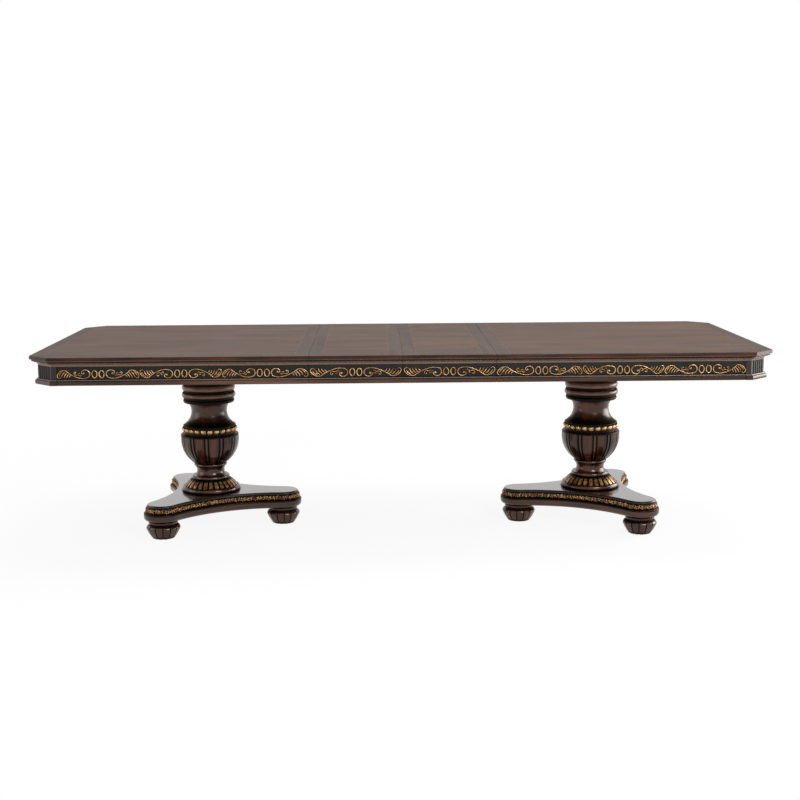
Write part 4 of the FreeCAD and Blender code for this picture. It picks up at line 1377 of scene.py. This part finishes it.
@dataclass
class Frieze:
    """Carved scrollwork along the apron rails, in units that mirror about their middles."""

    frame: dict[str, Any]
    # Millimetres: a unit's usual length, half a unit as drawn and the half unit next to a seam
    unit: float = 312.0
    unit_half: float = 173.0
    seam_half: float = 170.0
    # How far the pattern's middle lies above the rail's, and how far out the carving stands
    lift: float = -0.6
    rise: float = 4.6
    # Distance from a unit's middle past which it is stretched to length
    stretch_from: float = 62.0
    # Pair of oval rings in the middle of a unit
    ring_place: float = 13.4
    ring_size: Flat = (9.4, 14.0)
    ring_half: float = 2.5
    ring_points: int = 28
    # Strokes of half a unit: the scroll, the bud in it, the bud's leaf and tip, and the spray
    strokes: tuple[Stroke, ...] = (
        Stroke(
            (
                (131, 13), (119, 5), (104, -3.5), (88, -10), (70, -14.8), (54, -15.8), (39, -12.5),
                (31.2, -3.5), (32.5, 8), (41, 15.2), (52, 15.8), (60.5, 10.5), (61, 3.5), (54.5, 0.5),
            ),
            (2.5, 2.3, 2.1, 2.0, 2.4, 2.7, 2.3, 1.6),
        ),
        Stroke(
            ((63, -1), (70, -4.5), (78, -1.5), (86, -3.5), (92.5, -1.5), (95, 4.5), (91.5, 9.8), (85.5, 9)),
            (0.9, 1.9, 1.7, 1.8, 1.5),
            0.9,
        ),
        Stroke(((66, 1), (73, 4), (80, 4.5)), (0.8, 1.8, 0.8), 0.8),
        Stroke(((62, -2), (66.5, -6.5), (70, -8.5)), (0.8, 1.6, 0.8), 0.8),
        Stroke(
            (
                (128, 13.5), (141, 14.8), (154, 12), (165, 4),
                (170.5, -5.5), (168, -13), (160, -15.2), (154.5, -10.5),
            ),
            (1.6, 2.4, 2.4, 2.0, 1.3),
        ),
    )
    # Barbs of the spray: lines that their roots and tips follow, how they bow and their section
    barb_roots: tuple[Flat, ...] = ((107, -2.5), (125, 6.5), (146, 11))
    barb_tips: tuple[Flat, ...] = ((117, -12.5), (141, -14), (163, -6.5))
    barb_steps: int = 2
    barb_bow: Flat = (2.0, 1.5)
    barb_halves: Triple = (1.2, 2.4, 1.0)
    barb_share: float = 0.85
    # Places and radii of the buttons, and their share of the rise
    buttons: tuple[Triple, ...] = ((53.5, 3.5, 4.2), (87.5, 6.5, 3.2))
    button_share: float = 1.15
    # Plain ends of a leaf's rails
    leaf_margin: float = 3.0
    # Strips behind the seams
    strip_half: float = 9.0
    strip_thickness: float = 3.0
    strip_gap: float = 0.3

    def half_strokes(self) -> list[Stroke]:
        """Lists the strokes of half a unit, with the spray's barbs.

        Returns:
            The strokes.
        """
        strokes = list(self.strokes)
        bow = Vector((*self.barb_bow, 0.0))
        roots = flowing(self.barb_roots, self.barb_steps)
        for root, tip in zip(roots, flowing(self.barb_tips, self.barb_steps)):
            places = [(spot.x, spot.y) for spot in (root, (root + tip) / 2 + bow, tip)]
            strokes.append(Stroke(places, self.barb_halves, self.barb_share))
        return strokes

    def laid(self, places: Sequence[Flat], middle: float, length: float, way: Flat) -> list[Flat]:
        """Moves places of the half unit to their places on the rail.

        Args:
            places: The places.
            middle: The unit's middle along the rail, in millimetres.
            length: The length of the half unit, which its outer part is stretched to.
            way: -1 or 1 for the first or second half, and 1 or -1 for stems below or above.

        Returns:
            The places on the rail.
        """
        pull = (length - self.stretch_from) / (self.unit_half - self.stretch_from)
        moved = []
        for u, v in places:
            past = max(0.0, u - self.stretch_from)
            moved.append((middle + way[0] * (u - past + past * pull), self.lift + v * way[1]))
        return moved

    def carve_unit(self, work: Carving, ground: Ground, middle: float, halves: Flat, flip: int) -> None:
        """Carves one unit.

        Args:
            work: The carving to add to.
            ground: The rail's face.
            middle: The unit's middle along the rail, in millimetres.
            halves: The lengths of its first and its second half.
            flip: 1 with the stems below, -1 with the stems above.
        """
        for side, length in zip((-1, 1), halves):
            for stroke in self.half_strokes():
                places = self.laid(stroke.places, middle, length, (side, flip))
                work.add_stroke(ground, places, stroke.halves, self.rise * stroke.share)
            for u, v, radius in self.buttons:
                spot = self.laid([(u, v)], middle, length, (side, flip))[0]
                work.add_button(ground, spot, radius, self.rise * self.button_share)
            wide, tall = self.ring_size
            ring = []
            for i in range(self.ring_points):
                turn = math.tau * i / self.ring_points
                u = side * self.ring_place + wide * math.cos(turn)
                ring.append((middle + u, self.lift + tall * math.sin(turn)))
            work.add_stroke(ground, ring, (self.ring_half,) * 2, self.rise, loop=True)

    def face_of(self, node: str) -> tuple[Ground, float]:
        """Finds a rail's outer face.

        Args:
            node: The rail.

        Returns:
            The face, and its length in metres.
        """
        low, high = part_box(node)
        size = high - low
        axis = 1 if size.x > size.y else 0
        face = (low + high) / 2
        out = Vector((0.0, 0.0, 0.0))
        out[axis] = math.copysign(1.0, face[axis])
        face[axis] = high[axis] if out[axis] > 0 else low[axis]
        return Ground(face, Vector((-out.y, out.x, 0.0)), out), size[1 - axis]

    def carve_rail(self, node: str, body: str, margin: float) -> None:
        """Carves a rail.

        Args:
            node: The rail.
            body: The body that it is part of.
            margin: How much of the rail is left plain at each end, in millimetres.
        """
        ground, length = self.face_of(node)
        run = length / MM - 2 * margin
        count = max(1, round(run / self.unit))
        halves = [run / count / 2] * (2 * count)
        if count > 1 and ground.out.y:
            rest = (run - self.seam_half) / (2 * count - 1)
            halves = [self.seam_half] + [rest] * (2 * count - 1)
            if ground.middle.dot(ground.along) < 0:
                halves.reverse()
        work = Carving()
        start = -run / 2
        for i in range(count):
            first, second = halves[2 * i:2 * i + 2]
            flip = -1 if count == 1 or i % 2 else 1
            self.carve_unit(work, ground, start + first, (first, second), flip)
            start += first + second
        work.make(node.replace("_rail", "_carving"), GOLD, body)

    def cover_seam(self, seam: str, side: str, rail: str, body: str) -> None:
        """Sets a dark strip behind the joint of two rails, so that no light comes through it.

        Args:
            seam: The seam's name.
            side: The long side that it is on.
            rail: The rail that carries the strip.
            body: The body that the rail is part of.
        """
        low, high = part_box(rail)
        inner = low.y if abs(low.y) < abs(high.y) else high.y
        way = math.copysign(1.0, inner)
        end = high.x if seam == "left" or rail.startswith("leaf_left") else low.x
        half, thick, gap = (self.strip_half * MM, self.strip_thickness * MM, self.strip_gap * MM)
        faces = (inner - way * gap, inner - way * (gap + thick))
        work = Carving()
        work.add_bar((end - half, end + half), faces, (low.z, high.z))
        work.make(f"{seam}_{side}_seam_strip", FRIEZE_BLACK, body)

    def cover_seams(self) -> None:
        """Sets strips behind the three seams of both long sides."""
        nodes = self.frame["nodes"]
        for seam, carrier in (("left", "left"), ("middle", "leaf_left"), ("right", "right")):
            for side in ("front", "back"):
                rail = f"{carrier}_{side}_rail"
                self.cover_seam(seam, side, rail, nodes[rail]["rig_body"])

    def build(self) -> None:
        """Carves every rail, paints the rails and posts and covers the seams."""
        nodes = self.frame["nodes"]
        for name, node in nodes.items():
            if not name.endswith(("_rail", "_posts")):
                continue
            if name.endswith("_posts"):
                POST_BLACK.dress(node)
                continue
            FRIEZE_BLACK.dress(node)
            margin = self.leaf_margin if name.startswith("leaf") else 0.0
            self.carve_rail(name, node["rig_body"], margin)
        self.cover_seams()


@dataclass
class Top:
    """The veneered panels and the mouldings under them."""

    frame: dict[str, Any]
    clip: float = 82 * MM
    filler_gap: float = 0.1 * MM
    filler_inset: float = 2 * MM

    def fill_seam(self, seam: str, first: str, second: str, body: str) -> None:
        """Sets a dark filler between two panels, so that no light comes through their seam.

        Args:
            seam: The seam's name.
            first: The panel on its left.
            second: The panel on its right.
            body: The body that carries the filler.
        """
        low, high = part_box(first)
        gap, inset = self.filler_gap, self.filler_inset
        along = (high.x + gap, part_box(second)[0].x - gap)
        work = Carving()
        work.add_bar(along, (low.y + inset, high.y - inset), (low.z + inset, high.z - inset))
        work.make(f"{seam}_seam_filler", FRIEZE_BLACK, body)

    def build(self) -> None:
        """Veneers each panel, stains the mouldings and fills the seams."""
        for name, node in self.frame["nodes"].items():
            if name.endswith("_top") and not name.endswith("plinth_top"):
                low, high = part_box(name)
                clip = 0.0 if name.startswith("leaf") else self.clip
                corners = (low.xy.to_tuple(), high.xy.to_tuple())
                FiguredTop(f"veneer_of_{name}", "top_veneer", *corners, clip).dress(node)
                log.info("%s: veneered", name)
            elif "moulding" in name:
                MOULDING_WOOD.dress(node)
                log.info("%s: stained", name)
        panels = ("left_top", "leaf_left_top", "leaf_right_top", "right_top")
        bodies = ("left_half", "leaf_left", "right_half")
        for seam, first, second, body in zip(("left", "middle", "right"), panels, panels[1:], bodies):
            self.fill_seam(seam, first, second, body)


@dataclass
class Pedestal:
    """One turned pedestal on its three-lobed plinth."""

    frame: dict[str, Any]
    side: str
    # Degrees that the plinth is turned, with its inner foot forward
    plinth_turn: float = 3.2
    # Millimetres: from the axis to the lobes' middles, radius of the lobes and from the axis to the waist
    foot_circle: float = 303.0
    lobe: float = 77.0
    waist: float = 162.0
    band_inset: float = 10.0
    band_round: float = 7.0
    leaf_pitch: float = 13.5
    leaf_rise: float = 3.0
    # Strokes on each wave of the band, in half pitches along it: the vine, a curled leaf and a sprig
    strokes: tuple[Stroke, ...] = (
        Stroke(((-1.04, 0), (-0.6, 3.6), (0, 5.2), (0.6, 3.6), (1.04, 0)), (1.3, 1.6, 1.3)),
        Stroke(
            ((-0.7, 2.5), (-0.1, 1.5), (0.35, -1.5), (0.2, -5), (-0.3, -5.5), (-0.35, -2.5)),
            (1.0, 2.4, 1.8, 1.0),
        ),
        Stroke(((0.4, 4.5), (0.75, 7.5), (0.6, 9.5)), (0.8, 2.0, 1.0)),
    )
    beads: int = 24
    bead_seat: float = 106.0
    disc_height: float = 20.0
    tongues: int = 28

    def node(self, piece: str) -> str:
        """Names a node of this pedestal."""
        return f"{self.side}_{piece}"

    @property
    def centre(self) -> float:
        """Gives the x of the pedestal's axis, in millimetres."""
        low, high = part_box(self.node("column"))
        return (low.x + high.x) / 2 / MM

    def dress(self) -> None:
        """Gives each turned piece its finish."""
        nodes = self.frame["nodes"]
        axis = self.centre * MM
        bowl_wood = LobedWood(
            f"{self.side}_bowl_mahogany",
            "pedestal_wood",
            *TURNED_TONES,
            under=(-0.7, -0.98),
            zones=(BOWL_RIM,),
            centre=axis,
        )
        woods = {
            "column": COLUMN_WOOD,
            "bowl": bowl_wood,
            "stem": TURNED_WOOD,
            "feet": TURNED_WOOD,
            "plinth_base": BASE_WOOD,
            "plinth_top": PLINTH_WOOD,
        }
        for piece, wood in woods.items():
            wood.dress(nodes[self.node(piece)])
        low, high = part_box(self.node("bead_collar"))
        seat = (self.bead_seat * MM, (low.z + high.z) / 2)
        beads = BeadRing(f"{self.side}_gilt_beads", "gilding", axis, GOLD, RING_BLACK, self.beads, *seat)
        beads.dress(nodes[self.node("bead_collar")])
        low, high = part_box(self.node("tongue_collar"))
        span = (low.z + self.disc_height * MM, high.z)
        tongues = TongueRing(
            f"{self.side}_gilt_tongues",
            "gilding",
            axis,
            AGED_GOLD,
            RING_BLACK,
            self.tongues,
            *span,
            TURNED_WOOD,
        )
        tongues.dress(nodes[self.node("tongue_collar")])
        RING_BLACK.dress(nodes[self.node("gilt_band")])
        log.info("%s pedestal: finished", self.side)

    def outline(self, inset: float) -> list[Station]:
        """Walks round the plinth's three lobes and the hollows between them.

        Args:
            inset: How far inside the plinth's edge to walk, in millimetres.

        Returns:
            Points about the pedestal's axis, each with the angle of the way out.
        """
        reach = self.foot_circle
        # Radius of the hollow that touches two lobes and passes the waist between them
        hollow = (self.waist ** 2 + reach ** 2 - self.waist * reach - self.lobe ** 2) / (
            reach + 2 * self.lobe - 2 * self.waist
        )
        forward = math.radians(self.plinth_turn)
        first = math.pi + forward if self.side == "right" else -forward
        far = self.waist + hollow
        half_way = math.pi / LOBES
        swing = math.atan2(far * math.sin(half_way), reach - far * math.cos(half_way))
        lobe_half = math.pi - swing
        hollow_half = half_way - lobe_half
        stations: list[Station] = []
        for i in range(LOBES):
            turn = first + i * math.tau / LOBES
            ends = (turn - lobe_half, turn + lobe_half)
            stations += self.arc(ray(turn) * reach, self.lobe - inset, ends, 0.0)
            gap = turn + half_way
            ends = (gap + math.pi + hollow_half, gap + math.pi - hollow_half)
            stations += self.arc(ray(gap) * far, hollow + inset, ends, math.pi)
        return stations

    def arc(self, middle: Vector, radius: float, ends: Flat, turned: float) -> list[Station]:
        """Places stations evenly along an arc.

        Args:
            middle: The arc's middle.
            radius: Its radius.
            ends: Its first and last angles.
            turned: The angle from the way out of the arc to the way out of the plinth.

        Returns:
            Points with the angle of the way out of the plinth.
        """
        start, end = ends
        count = 2 * max(1, round(abs(end - start) * radius / self.leaf_pitch / 2))
        stations = []
        for i in range(count):
            angle = start + (end - start) * (i + 0.5) / count
            stations.append((middle + ray(angle) * radius, angle + turned))
        return stations

    def carve_band(self) -> None:
        """Carves the running vine round the plinth, with a curled leaf in each of its waves."""
        low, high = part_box(self.node("gilt_band"))
        level = (low.z + high.z) / 2
        round_from = (high.z - level) / MM - self.band_round
        work = Carving()
        half = self.leaf_pitch / 2
        for i, (spot, angle) in enumerate(self.outline(self.band_inset)):
            wave = 1 if i % 2 else -1
            out = ray(angle)
            middle = Vector((self.centre, 0.0, 0.0)) + spot
            foot = Vector((middle.x * MM, middle.y * MM, level))
            ground = Ground(foot, Vector((-out.y, out.x, 0.0)), out, round_from, self.band_round)
            for stroke in self.strokes:
                places = [(half * u, wave * v) for u, v in stroke.places]
                work.add_stroke(ground, places, stroke.halves, self.leaf_rise)
        work.make(self.node("band_leaves"), AGED_GOLD, f"{self.side}_half")

    def build(self) -> None:
        """Dresses the pedestal and carves its band."""
        self.dress()
        self.carve_band()


@dataclass
class Fittings:
    """The slides, screws and locks under the top."""

    frame: dict[str, Any]
    slides: tuple[str, ...] = ("runners", "braces", "head_plate")
    screws: tuple[str, ...] = ("screws", "tie_rod")

    def build(self) -> None:
        """Finishes every slide, screw and lock."""
        for name, node in self.frame["nodes"].items():
            if name.endswith(self.slides):
                SLIDE_WOOD.dress(node)
            elif name.endswith(self.screws):
                SCREW_STEEL.dress(node)
            elif "lock" in name:
                LOCK_STEEL.dress(node)
        log.info("slides, screws and locks: finished")


@dataclass(frozen=True)
class Softbox:
    """A soft light: where it hangs, the point that it faces, its width and height and its watts."""

    name: str
    place: Triple
    aim: Triple
    size: Flat
    power: float

    def hang(self) -> None:
        """Hangs the light, out of the camera's sight."""
        lamp = bpy.data.lights.new(self.name, "AREA")
        lamp.shape = "RECTANGLE"
        lamp.size, lamp.size_y = self.size
        lamp.energy = self.power
        holder = show(self.name, lamp)
        holder.location = self.place
        way = Vector(self.aim) - Vector(self.place)
        holder.rotation_euler = way.to_track_quat("-Z", "Y").to_euler()
        holder.visible_camera = False


@dataclass
class Studio:
    """The pale floor, the soft lights and the camera."""

    ambient: float = 0.45
    floor_half: float = 40.0
    floor_level: float = -0.0005
    lights: tuple[Softbox, ...] = (
        Softbox("front_softbox", (2.4, -4.4, 2.9), (0.0, 0.0, 0.5), (2.0, 1.6), 130.0),
        Softbox("right_softbox", (4.2, 0.8, 1.15), (0.9, 0.0, 0.6), (3.0, 2.2), 140.0),
        Softbox("left_softbox", (-4.4, -0.8, 1.0), (-0.9, 0.0, 0.6), (1.8, 1.8), 22.0),
        Softbox("ceiling_softbox", (0.3, 0.6, 4.2), (0.0, 0.0, 0.7), (4.0, 2.4), 110.0),
    )
    # Camera solved from the photograph: metres, radians and pixels
    camera_place: Triple = (-0.096548, -5.624656, 1.410419)
    pitch: float = 0.15825
    yaw: float = -0.01685
    roll: float = -0.00633
    focal_pixels: float = 1360.702

    def build_world(self) -> None:
        """Lights the room evenly, with a white background."""
        world = bpy.data.worlds.new("studio_room")
        world.use_nodes = True
        bpy.context.scene.world = world
        bench = Bench(world.node_tree)
        strength = self.ambient + bench.seen() * (1 - self.ambient)
        room = bench.add("ShaderNodeBackground", None, {"Color": WHITE, "Strength": strength})
        bench.add("ShaderNodeOutputWorld", None, {"Surface": room})

    def build_floor(self) -> None:
        """Lays a pale floor that keeps the table's shadow."""
        half = self.floor_half
        mesh = bpy.data.meshes.new("studio_floor")
        corners = [(x * half, y * half, self.floor_level) for x, y in ((-1, -1), (1, -1), (1, 1), (-1, 1))]
        mesh.from_pydata(corners, [], [(0, 1, 2, 3)])
        mesh.materials.append(FLOOR_WHITE.material())
        floor = show("studio_floor", mesh)

    def build_camera(self) -> None:
        """Sets the camera where the photograph was taken from."""
        ahead = Vector((
            -math.sin(self.yaw) * math.cos(self.pitch),
            math.cos(self.yaw) * math.cos(self.pitch),
            -math.sin(self.pitch),
        ))
        right = ray(self.yaw)
        up = right.cross(ahead)
        level = right * math.cos(self.roll) + up * math.sin(self.roll)
        upright = up * math.cos(self.roll) - right * math.sin(self.roll)
        lens = bpy.data.cameras.new("photo_camera")
        lens.sensor_width = SENSOR
        lens.lens = self.focal_pixels / PHOTO_SIDE * SENSOR
        camera = show("photo_camera", lens)
        turn = Matrix((level, upright, -ahead)).transposed().to_4x4()
        camera.matrix_world = Matrix.Translation(self.camera_place) @ turn
        bpy.context.scene.camera = camera

    def build(self) -> None:
        """Builds the room, the lights and the camera."""
        self.build_world()
        self.build_floor()
        for light in self.lights:
            light.hang()
        self.build_camera()
        bpy.context.scene.view_settings.view_transform = "Standard"


def main() -> None:
    """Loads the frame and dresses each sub-assembly."""
    logging.basicConfig(level=logging.INFO, format="%(name)s: %(message)s")
    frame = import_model()
    Top(frame).build()
    Frieze(frame).build()
    for side in ("left", "right"):
        Pedestal(frame, side).build()
    Fittings(frame).build()
    Studio().build()


if __name__ == "__main__":
    main()
